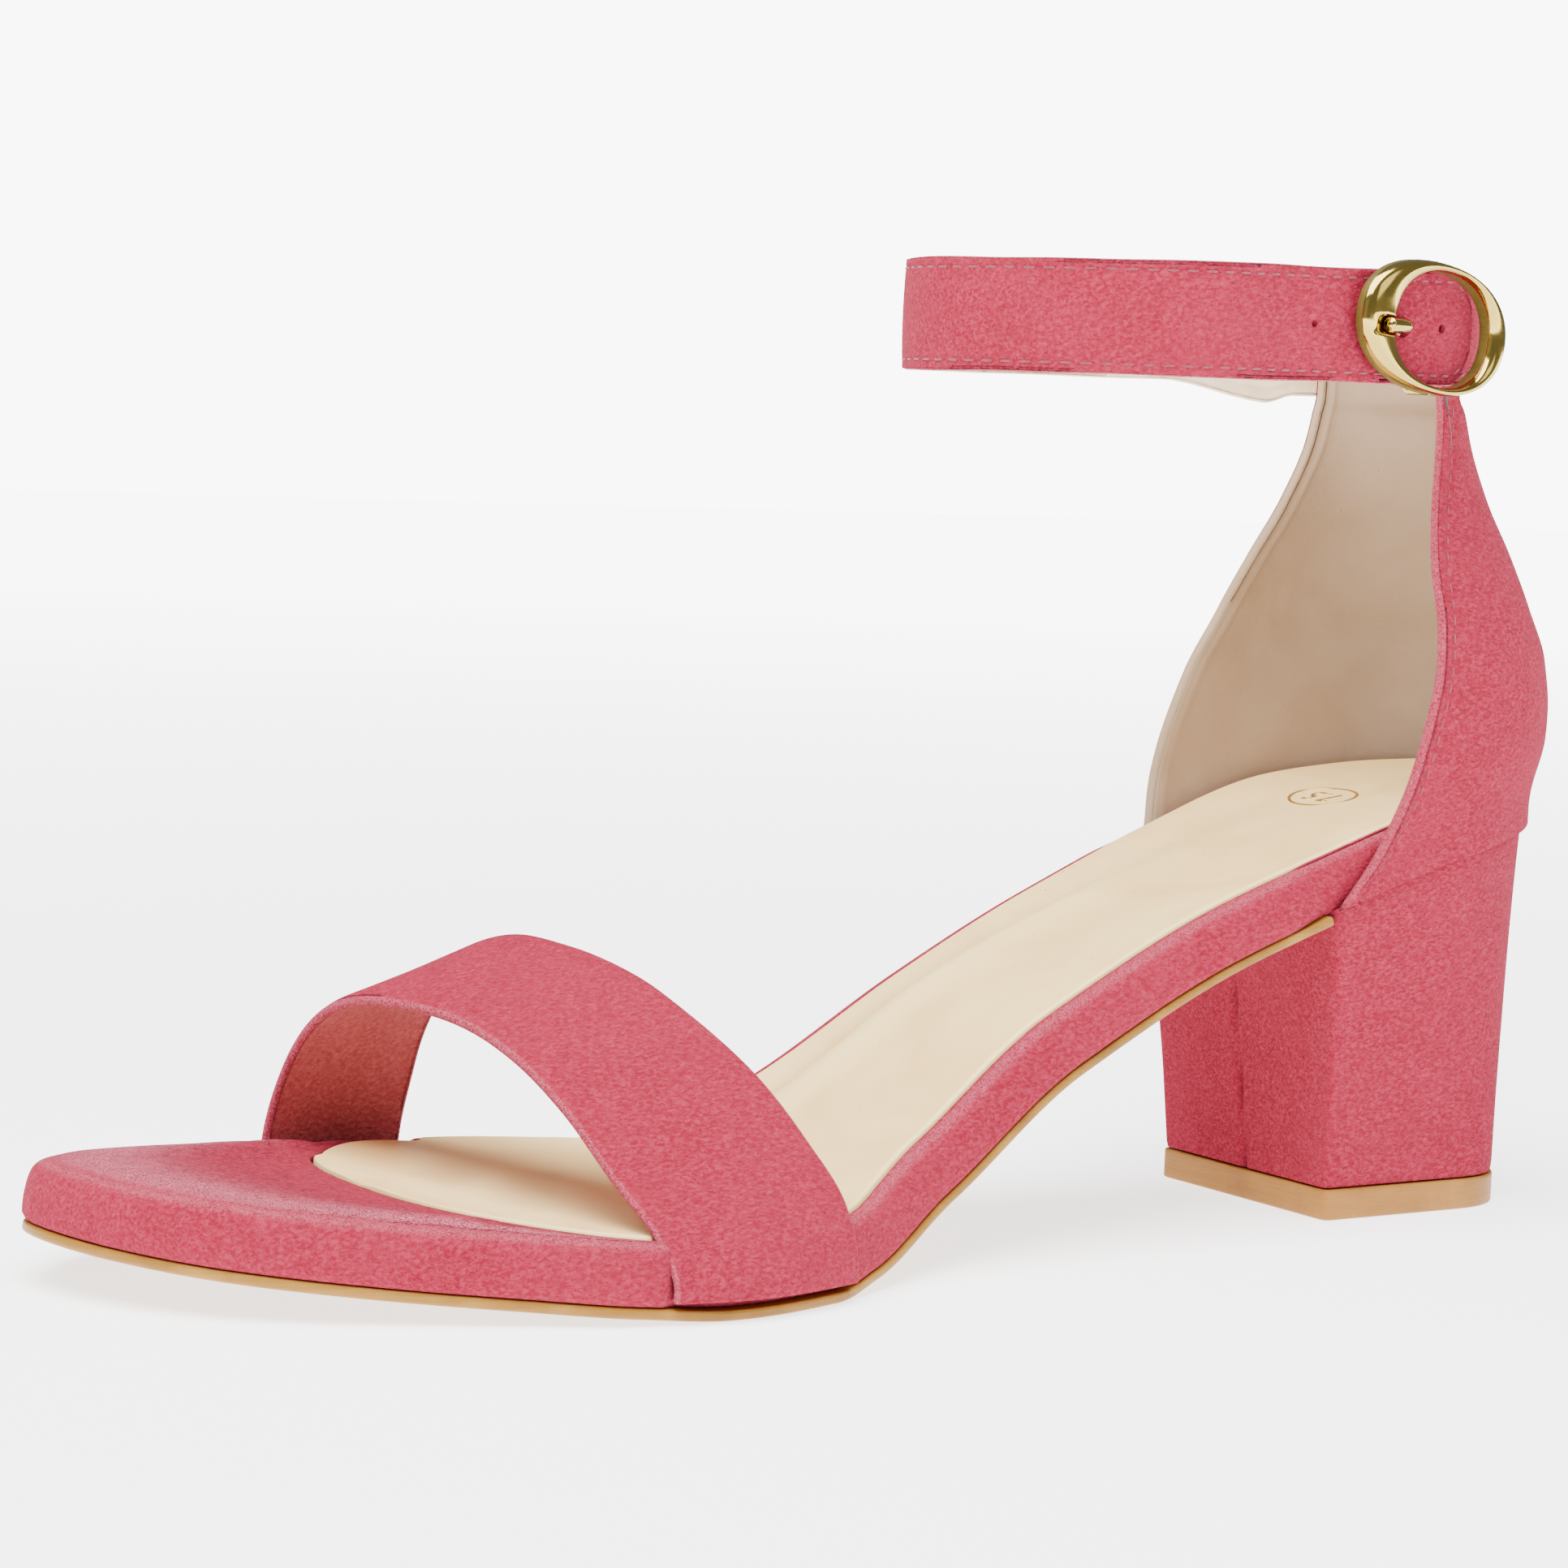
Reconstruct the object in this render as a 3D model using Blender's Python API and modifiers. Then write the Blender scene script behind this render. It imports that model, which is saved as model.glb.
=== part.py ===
"""Block heel sandal, the left shoe: a wrapped footbed on a covered block heel, a band over
the toes, a closed heel counter and a buckled ankle strap.

Metres, +Z up. While the pieces are drawn, x = 0 is the heel's middle line with +X to the
outer (lateral) side, y = 0 is the back of the sole, the toe points to -Y, and z = 0 is the
floor. At the end an empty carries them all, so that the origin is under the middle of the shoe.
"""
import math

import bmesh
import bpy
import numpy as np
from mathutils import Matrix, Vector

# Sole
LENGTH = 0.240           # back of the sole to toe, along the floor
BALL_WIDTH = 0.088       # widest place of the footbed
HEEL_RISE = 0.0570       # underside of the sole at the back of the seat
TOE_SPRING = 0.0068      # underside of the sole at the toe tip
OUTSOLE = 0.0022         # thickness of the rubber sheet
OUTSOLE_MARGIN = 0.0006  # outsole's edge inside the footbed's side
FOOTBED = 0.0073         # thickness of the wrapped board
EDGE_ROUND = 0.0026      # how far the footbed's upper edge rounds in
SOCK = 0.0010            # thickness of the insole sock
SOCK_MARGIN = 0.0031     # edge of the sock's bed inside the footbed's side
SOCK_BACK = 0.0029       # rear end of that bed from the back of the sole
SOCK_FRONT = 0.0427      # front end of that bed from the toe tip
SOCK_ROUND = 0.0300      # length over which the sock's ends round
SOCK_FRONT_SQUARE = 2.5  # exponents of that rounding: the larger, the squarer
SOCK_BACK_SQUARE = 6

# Block heel and its tip
TIP_WIDTH = 0.0389
TIP_FRONT = 0.0457       # breast at the floor, from the back of the sole
TIP_BACK = 0.0054        # rear of the tip, from the back of the sole
TIP_ROUND = 0.0150       # length over which the tip's rear rounds
TIP_SQUARE = 2.6         # exponent of that rounding
TIP = 0.0046             # thickness
BREAST_TOP = 0.0508      # breast at the seat, from the back of the sole
TIP_LIP = 0.0002         # tip's edge outside the heel's covering
HEEL_LIP = 0.0002        # heel's upper edge outside the sole's outline

# Upper
BAND_WALL = 0.0014
BAND_PROUD = 0.0006      # band's outer face outside the sole's outline, at its feet
BAND_RISE = 0.0412       # top of the toe band above the floor
BAND_RECESS = 0.0028     # footbed's upper edge and the sock step in under the band
BAND_BEYOND = 0.0024     # the step starts this far in front of and behind the band
BAND_RAMP = 0.0030       # length of that step
COUNTER_WALL = 0.0018
COUNTER_RECESS = 0.0012  # footbed's side steps in under the counter
COUNTER_TAB = 0.0067     # the counter's top edge above the middle of the strap that holds it
COUNTER_HALF = 0.0284    # half of the counter's greatest width
COUNTER_DEPTH = 0.0508   # counter's lower front corners, from the back of the sole
COUNTER_RAMP = 0.0080    # length of the step into that recess
COUNTER_FOLLOW = 0.16    # share of its height over which the counter leaves the sole's outline
STRAP = 0.0017           # thickness of the ankle strap
STRAP_HEIGHT = 0.0168
STRAP_NARROWING = 0.0008  # how much less high the strap is at its front
STRAP_LEVEL = 0.1325     # middle of the strap above the floor, at its rear
STRAP_FALL = 0.0014      # how much lower the strap is at its front
STRAP_BACK = 0.0140      # rear of the strap loop, in front of the back of the sole
STRAP_DEPTH = 0.0958     # loop's outer size, back to front
STRAP_HALF = 0.0282      # half of the loop's outer width
STRAP_TAIL = 0.0150      # free end past the buckle's bar
STRAP_CLIMB = 0.0180     # length over which the strap climbs onto its second layer
TAIL_TAPER = 0.0060      # length of the free end's rounding
TAIL_SQUARE = 2.5        # exponent of that rounding
TAIL_TIP = 0.38          # height left at the free end's tip, share of STRAP_HEIGHT

# Buckle
BUCKLE_LENGTH = 0.0309
BUCKLE_HEIGHT = 0.0189
BUCKLE_THICK = 0.0030
BUCKLE_OPEN_LENGTH = 0.0205
BUCKLE_OPEN_HEIGHT = 0.0164
BUCKLE_OPEN_SHIFT = 0.0016   # opening's middle behind the ring's, so the front rim is broad
BUCKLE_PLACE = 0.0425        # middle of the ring in front of the back of the sole
BUCKLE_TURN = math.radians(8)    # the oval's long axis dips to the rear
EAR = 0.0022                 # width of the two ears that hold the bar
EAR_LAP = 0.00015            # ears end this far inside the ring's edge and behind the bar
BAR = 0.0015                 # diameter of the bar behind the strap
PRONG = 0.0021               # diameter of the prong
PRONG_BEND = 0.0013          # radius of its two bends
PRONG_HOLE = 0.0030          # strap hole that the prong comes through
HOLE_AHEAD = 0.0045          # that hole in front of the bar
PRONG_REST = 0.0046          # the prong's tip past the opening's front edge
NOTCH = 0.0009               # depth of the prong's seat in the rim

GAP = 0.0003             # clearance between neighbours

# Plan and side view of the sole. along: share of LENGTH from the back. centre and half: shares
# of half of BALL_WIDTH, centre to the lateral side. rise: share of HEEL_RISE. spring: share of
# TOE_SPRING. The underside is flat where rise and spring are both nought.
SOLE = {
    "along": (0, .02, .06, .12, .20, .30, .40, .50, .57, .61, .69, .74, .80, .87, .94, .98, 1),
    "centre": (0, -.017, -.012, -.004, .015, .036, .080, .078, .064, .056, .016, -.006, -.024,
               -.050, -.085, -.140, -.195),
    "half": (0, .303, .485, .583, .560, .520, .518, .600, .770, .880, 1.0, .985, .870, .720,
             .526, .292, 0),
    "rise": (1, .988, .960, .912, .805, .646, .450, .175, .030, 0, 0, 0, 0, 0, 0, 0, 0),
    "spring": (0, 0, 0, 0, 0, 0, 0, 0, 0, 0, 0, .12, .27, .47, .72, .88, 1),
}

# Side of the footbed. height: share of FOOTBED. inset: share of EDGE_ROUND.
# pressed: share of BAND_RECESS that is added under the band.
FOOTBED_EDGE = {
    "height": (0, .10, .35, .60, .78, .92, 1),
    "inset": (.30, .06, 0, .04, .16, .45, 1),
    "pressed": (.50, .54, .74, .90, 1, 1, 1),
}

# Block heel from tip to seat. level: share of its height. spread: 0 the tip's plan, 1 the seat's.
HEEL = {
    "level": (0, .15, .35, .60, .82, 1),
    "spread": (0, .09, .22, .43, .70, 1),
}

# Counter from its lower edge to its top. level: share of its height. half: share of COUNTER_HALF.
# back, lateral and medial: shares of COUNTER_DEPTH in front of the back of the sole, for its
# rear and its two front edges. square: exponent of the section's corner.
COUNTER = {
    "level": (0, .06, .12, .21, .31, .41, .51, .61, .71, .77, .80, 1),
    "half": (.905, .945, .970, .985, .975, .905, .770, .630, .546, .515, .500, .490),
    "back": (-.020, -.018, -.020, -.014, .022, .080, .130, .202, .266, .292, .324, .330),
    "lateral": (1, .885, .828, .768, .715, .675, .645, .587, .540, .525, .522, .535),
    "medial": (1, .955, .920, .868, .792, .708, .655, .600, .552, .540, .535, .550),
    "square": (2.5, 2.5, 2.5, 2.5, 2.5, 2.4, 2.3, 2.2, 2.1, 2.0, 2.0, 2.0),
}

# Front and rear edges of the toe band, lateral to medial side, above the footbed's side.
# across: share of half of BALL_WIDTH. rise: share of BAND_RISE.
BAND_FRONT = {
    "across": (.918, .722, .520, .288, .045, -.215, -.465, -.690, -.832, -.885),
    "rise": (.265, .430, .605, .746, .828, .843, .788, .650, .455, .300),
}
BAND_REAR = {
    "across": (.865, .705, .510, .272, .034, -.227, -.490, -.730, -.905, -.962),
    "rise": (.310, .505, .680, .828, .942, 1, .978, .852, .610, .400),
}
# Where the band's edges meet the sole, as shares of LENGTH from the back.
BAND_FEET = {"lateral": (.725, .597), "medial": (.800, .700)}
BAND_FOOT_RISE = 0.0020  # how far the band runs up the footbed's side before it leans in
BAND_FADE = 0.0240       # height over which the band leaves the curve of the sole's outline

# Ankle strap's loop seen from above. along: share of STRAP_DEPTH from its rear.
# half and centre: shares of STRAP_HALF.
LOOP = {
    "along": (0, .013, .039, .078, .135, .20, .264, .331, .404, .528, .684, .808, .902, .969, 1),
    "half": (0, .270, .425, .590, .740, .823, .870, .896, .914, .960, 1, .905, .690, .400, 0),
    "centre": (0, 0, 0, 0, 0, 0, .005, .010, .015, .03, .03, .02, 0, -.02, -.03),
}

SOLE_STATIONS = 68       # sections along the footbed and the sock
OUTSOLE_STATIONS = 56
HEEL_STATIONS = 17       # sections from the heel's rear to its breast, and from the counter's to its edge
BAND_STATIONS = 44       # from foot to foot across the toe band
STRAP_STATIONS = 84      # round the ankle strap
LOOP_STATIONS = 121      # places that each half of the strap's path is read at
RING_STATIONS = 48       # round the buckle

SUEDE = ("suede_coral", (0.62, 0.11, 0.14, 1), 0.92, 0.0)
SOCK_LEATHER = ("sock_cream", (0.80, 0.65, 0.47, 1), 0.45, 0.0)
RUBBER = ("rubber_tan", (0.50, 0.29, 0.11, 1), 0.40, 0.0)
GOLD = ("metal_gold", (0.85, 0.68, 0.33, 1), 0.15, 1.0)


def smooth(xs, ys, x, slopes=False):
    """Cubic through the points that never overshoots between them, or its slope."""
    xs = np.asarray(xs, float)
    ys = np.asarray(ys, float)
    x = np.clip(np.asarray(x, float), xs[0], xs[-1])
    step = np.diff(xs)
    rate = np.diff(ys) / step
    both = rate[:-1] * rate[1:]
    total = np.where(both > 0, rate[:-1] + rate[1:], 1.0)
    tangent = np.concatenate([rate[:1], np.where(both > 0, 2 * both / total, 0.0), rate[-1:]])
    i = np.clip(np.searchsorted(xs, x, side="right") - 1, 0, len(step) - 1)
    t = (x - xs[i]) / step[i]
    y0, y1, m0, m1 = ys[i], ys[i + 1], tangent[i] * step[i], tangent[i + 1] * step[i]
    if slopes:
        change = (6 * t * t - 6 * t) * (y0 - y1) + (3 * t * t - 4 * t + 1) * m0 + (3 * t * t - 2 * t) * m1
        return change / step[i]
    return y0 * (1 + 2 * t) * (1 - t) ** 2 + y1 * t * t * (3 - 2 * t) + t * (1 - t) * ((1 - t) * m0 - t * m1)


def ease(value):
    """Soft step from 0 to 1."""
    t = np.clip(value, 0.0, 1.0)
    return t * t * (3 - 2 * t)


def through(points, count):
    """Evenly spaced places on a smooth curve through the points."""
    points = np.asarray(points, float)
    chord = np.linalg.norm(np.diff(points, axis=0), axis=1)
    knots = np.concatenate([[0.0], np.cumsum(chord)])
    tangent = np.gradient(points, knots, axis=0)
    at = np.linspace(0.0, knots[-1], count)
    i = np.clip(np.searchsorted(knots, at, side="right") - 1, 0, len(chord) - 1)
    t = ((at - knots[i]) / chord[i])[:, None]
    h = chord[i][:, None]
    blend = points[i] * (1 + 2 * t) * (1 - t) ** 2 + points[i + 1] * t * t * (3 - 2 * t)
    return blend + h * t * (1 - t) * (tangent[i] * (1 - t) - tangent[i + 1] * t)


def half_width(along):
    """Half of the sole's width. Its square is smoothed, which makes the two ends round."""
    square = smooth(SOLE["along"], np.square(SOLE["half"]), along)
    return BALL_WIDTH / 2 * np.sqrt(np.maximum(square, 0.0))


def centre_line(along):
    return BALL_WIDTH / 2 * smooth(SOLE["along"], SOLE["centre"], along)


def underside(y):
    """Height of the sole's underside at y, and its slope towards the toe."""
    along = -np.asarray(y, float) / LENGTH
    rise = HEEL_RISE * smooth(SOLE["along"], SOLE["rise"], along)
    spring = TOE_SPRING * smooth(SOLE["along"], SOLE["spring"], along)
    slope = HEEL_RISE * smooth(SOLE["along"], SOLE["rise"], along, slopes=True)
    slope = slope + TOE_SPRING * smooth(SOLE["along"], SOLE["spring"], along, slopes=True)
    return rise + spring, slope / LENGTH


def lift(plan, height):
    """Plan points at a height above the sole's underside, measured square to it."""
    level, slope = underside(plan[:, 1])
    size = np.sqrt(1 + slope ** 2)
    return np.column_stack([plan[:, 0], plan[:, 1] + height * slope / size, level + height / size])


def outward(ring):
    """Plan normals of a closed ring that runs from the rear along the lateral side."""
    after = np.roll(ring, -1, axis=0)
    before = np.roll(ring, 1, axis=0)
    same_after = np.linalg.norm(after - ring, axis=1) < 1e-9
    same_before = np.linalg.norm(before - ring, axis=1) < 1e-9
    after[same_after] = np.roll(ring, -2, axis=0)[same_after]
    before[same_before] = np.roll(ring, 2, axis=0)[same_before]
    tangent = after - before
    tangent /= np.linalg.norm(tangent, axis=1)[:, None]
    return np.column_stack([-tangent[:, 1], tangent[:, 0]])


def round_shares(count):
    """Shares from 0 to 1, close together at both ends."""
    return (1 - np.cos(np.linspace(0.0, math.pi, count))) / 2


def ring_of(along, half):
    """Closed plan ring: the lateral side from rear to front, then the medial side back."""
    centre = centre_line(along)
    lateral = np.column_stack([centre + half, -along * LENGTH])
    medial = np.column_stack([centre - half, -along * LENGTH])
    return np.vstack([lateral, medial[::-1]])


def under_band(along, side):
    """1 along one of the band's feet and a little beyond, and 0 away from it."""
    front, rear = BAND_FEET[side]
    ramp = BAND_RAMP / LENGTH
    reach = BAND_BEYOND / LENGTH + ramp
    return ease((along - rear + reach) / ramp) * ease((front + reach - along) / ramp)


def stations():
    """Shares of LENGTH along the sole, closer together at both ends and beside the band's feet."""
    evenly = round_shares(SOLE_STATIONS)
    steps = BAND_BEYOND / LENGTH + np.linspace(0.0, BAND_RAMP / LENGTH, 4)
    feet = np.ravel([[front + steps, rear - steps] for front, rear in BAND_FEET.values()])
    apart = np.abs(evenly[:, None] - feet).min(axis=1) > (steps[1] - steps[0]) * 0.8
    return np.sort(np.concatenate([evenly[apart], feet]))


def recess(ring):
    """How far the footbed's side steps in under the counter and under the band's feet."""
    back = -ring[:, 1]
    lateral = ring[:, 0] > centre_line(back / LENGTH)
    band = np.where(lateral, under_band(back / LENGTH, "lateral"), under_band(back / LENGTH, "medial"))
    counter = ease((COUNTER_DEPTH + COUNTER_RAMP - back) / COUNTER_RAMP)
    return BAND_RECESS * band, COUNTER_RECESS * counter


def new_object(name, mesh, look, collection):
    title, colour, roughness, metallic = look
    material = bpy.data.materials.get(title) or bpy.data.materials.new(title)
    material.use_nodes = True
    shader = material.node_tree.nodes["Principled BSDF"]
    shader.inputs["Base Color"].default_value = colour
    shader.inputs["Roughness"].default_value = roughness
    shader.inputs["Metallic"].default_value = metallic
    mesh.materials.append(material)
    mesh.shade_smooth()
    mesh.set_sharp_from_angle(angle=math.radians(40))
    piece = bpy.data.objects.new(name, mesh)
    collection.objects.link(piece)
    return piece


def ring_solid(name, rings, look, collection):
    """Closed solid from matching rings, with strips across its first and last one."""
    shape = bmesh.new()
    rows = [[shape.verts.new(point) for point in ring] for ring in rings]
    count = len(rows[0])
    for low, high in zip(rows, rows[1:]):
        for i in range(count):
            j = (i + 1) % count
            shape.faces.new((low[i], low[j], high[j], high[i]))
    for row in (rows[0], rows[-1]):
        for i in range(count // 2 - 1):
            shape.faces.new((row[i], row[i + 1], row[count - 2 - i], row[count - 1 - i]))
    bmesh.ops.remove_doubles(shape, verts=shape.verts, dist=1e-6)
    bmesh.ops.recalc_face_normals(shape, faces=shape.faces)
    mesh = bpy.data.meshes.new(name)
    shape.to_mesh(mesh)
    shape.free()
    return new_object(name, mesh, look, collection)


def wall(name, grid, thickness, look, collection):
    """Wall whose outer face is the grid; its thickness goes inwards."""
    shape = bmesh.new()
    rows = [[shape.verts.new(point) for point in row] for row in grid]
    for low, high in zip(rows, rows[1:]):
        for i in range(len(low) - 1):
            shape.faces.new((low[i], low[i + 1], high[i + 1], high[i]))
    mesh = bpy.data.meshes.new(name)
    shape.to_mesh(mesh)
    shape.free()
    piece = new_object(name, mesh, look, collection)
    shell = piece.modifiers.new("wall", "SOLIDIFY")
    shell.thickness = thickness
    shell.offset = -1.0
    shell.use_even_offset = True
    shell.use_quality_normals = True
    return piece


def make_footbed(collection):
    along = stations()
    side = ring_of(along, half_width(along))
    normal = outward(side)
    band, counter = recess(side)
    base = OUTSOLE + GAP
    rings = []
    for height, inset, pressed in zip(*FOOTBED_EDGE.values()):
        step = inset * EDGE_ROUND + pressed * band + counter
        rings.append(lift(side - normal * step[:, None], base + height * FOOTBED))
    bed = sock_plan(0.0)
    rings.append(lift(bed, base + FOOTBED))
    rings.append(lift(bed, base + FOOTBED - SOCK))
    return ring_solid("footbed", rings, SUEDE, collection)


def sock_plan(inset):
    """Plan of the sock's bed: the sole's outline less a margin, rounded off at its own ends."""
    start = SOCK_BACK / LENGTH
    end = 1 - SOCK_FRONT / LENGTH
    along = np.interp(stations(), (0, .1, .76, 1), (start, .1, .76, end))
    into_front = np.clip((along - end) * LENGTH / SOCK_ROUND + 1, 0, 1)
    into_rear = np.clip((start - along) * LENGTH / SOCK_ROUND + 1, 0, 1)
    rounding = (1 - into_front ** SOCK_FRONT_SQUARE) ** (1 / SOCK_FRONT_SQUARE)
    rounding = rounding * (1 - into_rear ** SOCK_BACK_SQUARE) ** (1 / 2)
    ring = ring_of(along, (half_width(along) - SOCK_MARGIN) * rounding)
    count = len(along)
    ring[:count, 0] -= BAND_RECESS * under_band(along, "lateral") * rounding
    ring[count:, 0] += (BAND_RECESS * under_band(along, "medial") * rounding)[::-1]
    return ring - outward(ring) * inset


def make_sock(collection):
    plan = sock_plan(GAP)
    base = OUTSOLE + GAP + FOOTBED - SOCK + GAP
    rings = [lift(plan, base), lift(plan, base + SOCK)]
    return ring_solid("insole_sock", rings, SOCK_LEATHER, collection)


def make_outsole(collection):
    start = (BREAST_TOP + GAP) / LENGTH
    along = start + (1 - start) * np.sin(np.linspace(0.0, math.pi / 2, OUTSOLE_STATIONS))
    side = ring_of(along, half_width(along))
    normal = outward(side)
    normal[0] = (1, 0)
    normal[-1] = (-1, 0)
    rings = [lift(side - normal * (OUTSOLE_MARGIN + OUTSOLE / 4), 0.0),
             lift(side - normal * OUTSOLE_MARGIN, OUTSOLE / 4),
             lift(side - normal * OUTSOLE_MARGIN, OUTSOLE)]
    return ring_solid("outsole", rings, RUBBER, collection)


def tip_plan(share, lip):
    """Plan of the heel tip from rear to breast: straight sides and a rounded rear."""
    depth = TIP_FRONT - TIP_BACK
    into = np.clip(1 - share * depth / TIP_ROUND, 0, 1)
    half = (TIP_WIDTH / 2 + lip) * (1 - into ** TIP_SQUARE) ** (1 / TIP_SQUARE)
    y = -(TIP_BACK - lip) - share * (depth + 2 * lip)
    return half, y


def heel_rear_shares():
    """Stations of the heel from rear to breast, close together round the rear."""
    return 1 - np.cos(np.linspace(0.0, math.pi / 2, HEEL_STATIONS))


def make_heel(collection):
    share = heel_rear_shares()
    tip_half, tip_y = tip_plan(share, 0.0)
    seat_y = HEEL_LIP - share * (BREAST_TOP + HEEL_LIP)
    seat_along = np.clip(-seat_y / LENGTH, 0, 1)
    rounding = np.where(share > 0, 1.0, 0.0)
    seat_half = (half_width(seat_along) + HEEL_LIP) * rounding
    seat_centre = centre_line(seat_along)
    top = underside(seat_y)[0] + OUTSOLE
    rings = []
    for level in np.linspace(0.0, 1.0, 11):
        spread = smooth(HEEL["level"], HEEL["spread"], level)
        y = tip_y + (seat_y - tip_y) * spread
        half = tip_half + (seat_half - tip_half) * spread
        centre = seat_centre * spread
        z = (TIP + GAP) * (1 - level) + top * level
        lateral = np.column_stack([centre + half, y, z])
        medial = np.column_stack([centre - half, y, z])
        rings.append(np.vstack([lateral, medial[::-1]]))
    return ring_solid("heel", rings, SUEDE, collection)


def make_heel_tip(collection):
    half, y = tip_plan(heel_rear_shares(), TIP_LIP)
    rings = []
    for z in (0.0, TIP):
        lateral = np.column_stack([half, y, np.full_like(y, z)])
        medial = np.column_stack([-half, y, np.full_like(y, z)])
        rings.append(np.vstack([lateral, medial[::-1]]))
    return ring_solid("heel_tip", rings, RUBBER, collection)


def band_edge(which, rows, count):
    """One edge of the band: up the lateral side, over the toes and down the medial side."""
    column = 0 if which == "front" else 1
    feet = {side: BAND_FEET[side][column] * LENGTH for side in BAND_FEET}
    points = []
    for side, sign in (("lateral", 1), ("medial", -1)):
        along = feet[side] / LENGTH
        x = centre_line(along) + sign * (half_width(along) + BAND_PROUD)
        low = underside(-feet[side])[0] + OUTSOLE + GAP
        foot = [(x, low), (x, low + BAND_FOOT_RISE)]
        points.append(foot if sign > 0 else foot[::-1])
    middle = [(across * BALL_WIDTH / 2, rise * BAND_RISE) for across, rise in zip(rows["across"], rows["rise"])]
    curve = through(points[0] + middle + points[1], count)
    outer, inner = points[0][0][0], points[1][-1][0]
    share = (outer - curve[:, 0]) / (outer - inner)
    y = -feet["lateral"] - (feet["medial"] - feet["lateral"]) * share
    return np.column_stack([curve[:, 0], y, curve[:, 1]])


def make_toe_band(collection):
    front = band_edge("front", BAND_FRONT, BAND_STATIONS)
    rear = band_edge("rear", BAND_REAR, BAND_STATIONS)
    grid = []
    for share in np.linspace(0.0, 1.0, 6):
        row = rear + (front - rear) * share
        for foot, sign in ((row[0].copy(), 1), (row[-1].copy(), -1)):
            along = -foot[1] / LENGTH
            outline = centre_line(along) + sign * (half_width(along) + BAND_PROUD)
            fade = ease(1 - (row[:, 2] - foot[2]) / BAND_FADE) * (row[:, 0] * sign > 0)
            row[:, 0] += (outline - foot[0]) * fade
        grid.append(row)
    return wall("toe_band", grid, BAND_WALL, SUEDE, collection)


def counter_section(level, share):
    """Half sections of the counter's outer face at a level, from its rear to its front edges."""
    value = {name: smooth(COUNTER["level"], COUNTER[name], level) for name in COUNTER}
    half = value["half"] * COUNTER_HALF
    back = -value["back"] * COUNTER_DEPTH
    proud = GAP + COUNTER_WALL - COUNTER_RECESS
    follow = 1 - ease(level / COUNTER_FOLLOW)
    sides = []
    for side, sign in (("lateral", 1), ("medial", -1)):
        front = -value[side] * COUNTER_DEPTH
        y = back + (front - back) * share
        x = half * (1 - (1 - share) ** value["square"]) ** (1 / value["square"])
        along = (back - y) / LENGTH
        seat = np.where(share > 0, half_width(along) + proud, 0.0) + sign * centre_line(along)
        x = x + (seat - x) * follow
        low = underside(y)[0] + OUTSOLE + GAP
        z = low + (STRAP_LEVEL + COUNTER_TAB - low) * level
        sides.append(np.column_stack([sign * x, y, z]))
    return np.vstack([sides[0][::-1], sides[1][1:]])


def make_counter(collection):
    share = 1 - np.cos(np.linspace(0.0, math.pi / 2, HEEL_STATIONS))
    levels = np.concatenate([np.linspace(0, .2, 7), np.linspace(.2, 1, 15)[1:]])
    grid = [counter_section(level, share) for level in levels]
    return wall("heel_counter", grid, COUNTER_WALL, SUEDE, collection)


def loop_path(count):
    """The strap loop's outer face seen from above, from its rear round the lateral side."""
    along = round_shares(count)
    square = smooth(LOOP["along"], np.square(LOOP["half"]), along)
    half = STRAP_HALF * np.sqrt(np.maximum(square, 0.0))
    centre = STRAP_HALF * smooth(LOOP["along"], LOOP["centre"], along)
    y = -STRAP_BACK - along * STRAP_DEPTH
    lateral = np.column_stack([centre + half, y])
    medial = np.column_stack([centre - half, y])
    return np.vstack([lateral, medial[::-1][1:]])


class Loop:
    """Places on the loop by the distance from its rear, growing round the lateral side."""

    def __init__(self):
        self.path = loop_path(LOOP_STATIONS)
        steps = np.linalg.norm(np.diff(self.path, axis=0), axis=1)
        self.travel = np.concatenate([[0.0], np.cumsum(steps)])
        self.length = self.travel[-1]
        side = self.path[:LOOP_STATIONS]
        self.bar = float(np.interp(BUCKLE_PLACE, -side[:, 1], self.travel[:LOOP_STATIONS]))

    def at(self, travel):
        travel = np.mod(travel, self.length)
        return np.column_stack([np.interp(travel, self.travel, self.path[:, axis]) for axis in (0, 1)])

    def normal(self, travel):
        along = self.at(np.asarray(travel) + STRAP) - self.at(np.asarray(travel) - STRAP)
        along /= np.linalg.norm(along, axis=1)[:, None]
        return np.column_stack([-along[:, 1], along[:, 0]])


def make_strap(loop, collection):
    """One strap, from its end at the bar round the ankle and over the bar to its free end."""
    start = loop.bar - BAR / 2 - GAP
    finish = loop.bar - STRAP_TAIL - loop.length
    tail = np.linspace(0, TAIL_TAPER, 6)[:-1]
    travel = np.concatenate([np.linspace(start, finish + TAIL_TAPER, STRAP_STATIONS), finish + TAIL_TAPER - tail[1:],
                             [finish]])
    to_bar = travel - (loop.bar - loop.length)
    climb = ease((STRAP_CLIMB + HOLE_AHEAD + PRONG_HOLE - to_bar) / STRAP_CLIMB)
    outer = loop.at(travel) + loop.normal(travel) * (climb * (STRAP + GAP))[:, None]
    into = np.clip(1 - (travel - finish) / TAIL_TAPER, 0, 1)
    forward = strap_forward(outer[:, 1])
    half = (STRAP_HEIGHT - STRAP_NARROWING * forward) / 2 * (1 - (1 - TAIL_TIP) * into ** TAIL_SQUARE)
    middle = STRAP_LEVEL - STRAP_FALL * forward
    grid = [np.column_stack([outer, middle + side * half]) for side in (-1, -.33, .33, 1)]
    return wall("ankle_strap", grid, STRAP, SUEDE, collection)


def strap_forward(y):
    """0 at the rear of the strap's loop and 1 at its front."""
    return np.clip((-y - STRAP_BACK) / STRAP_DEPTH, 0, 1)


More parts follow.
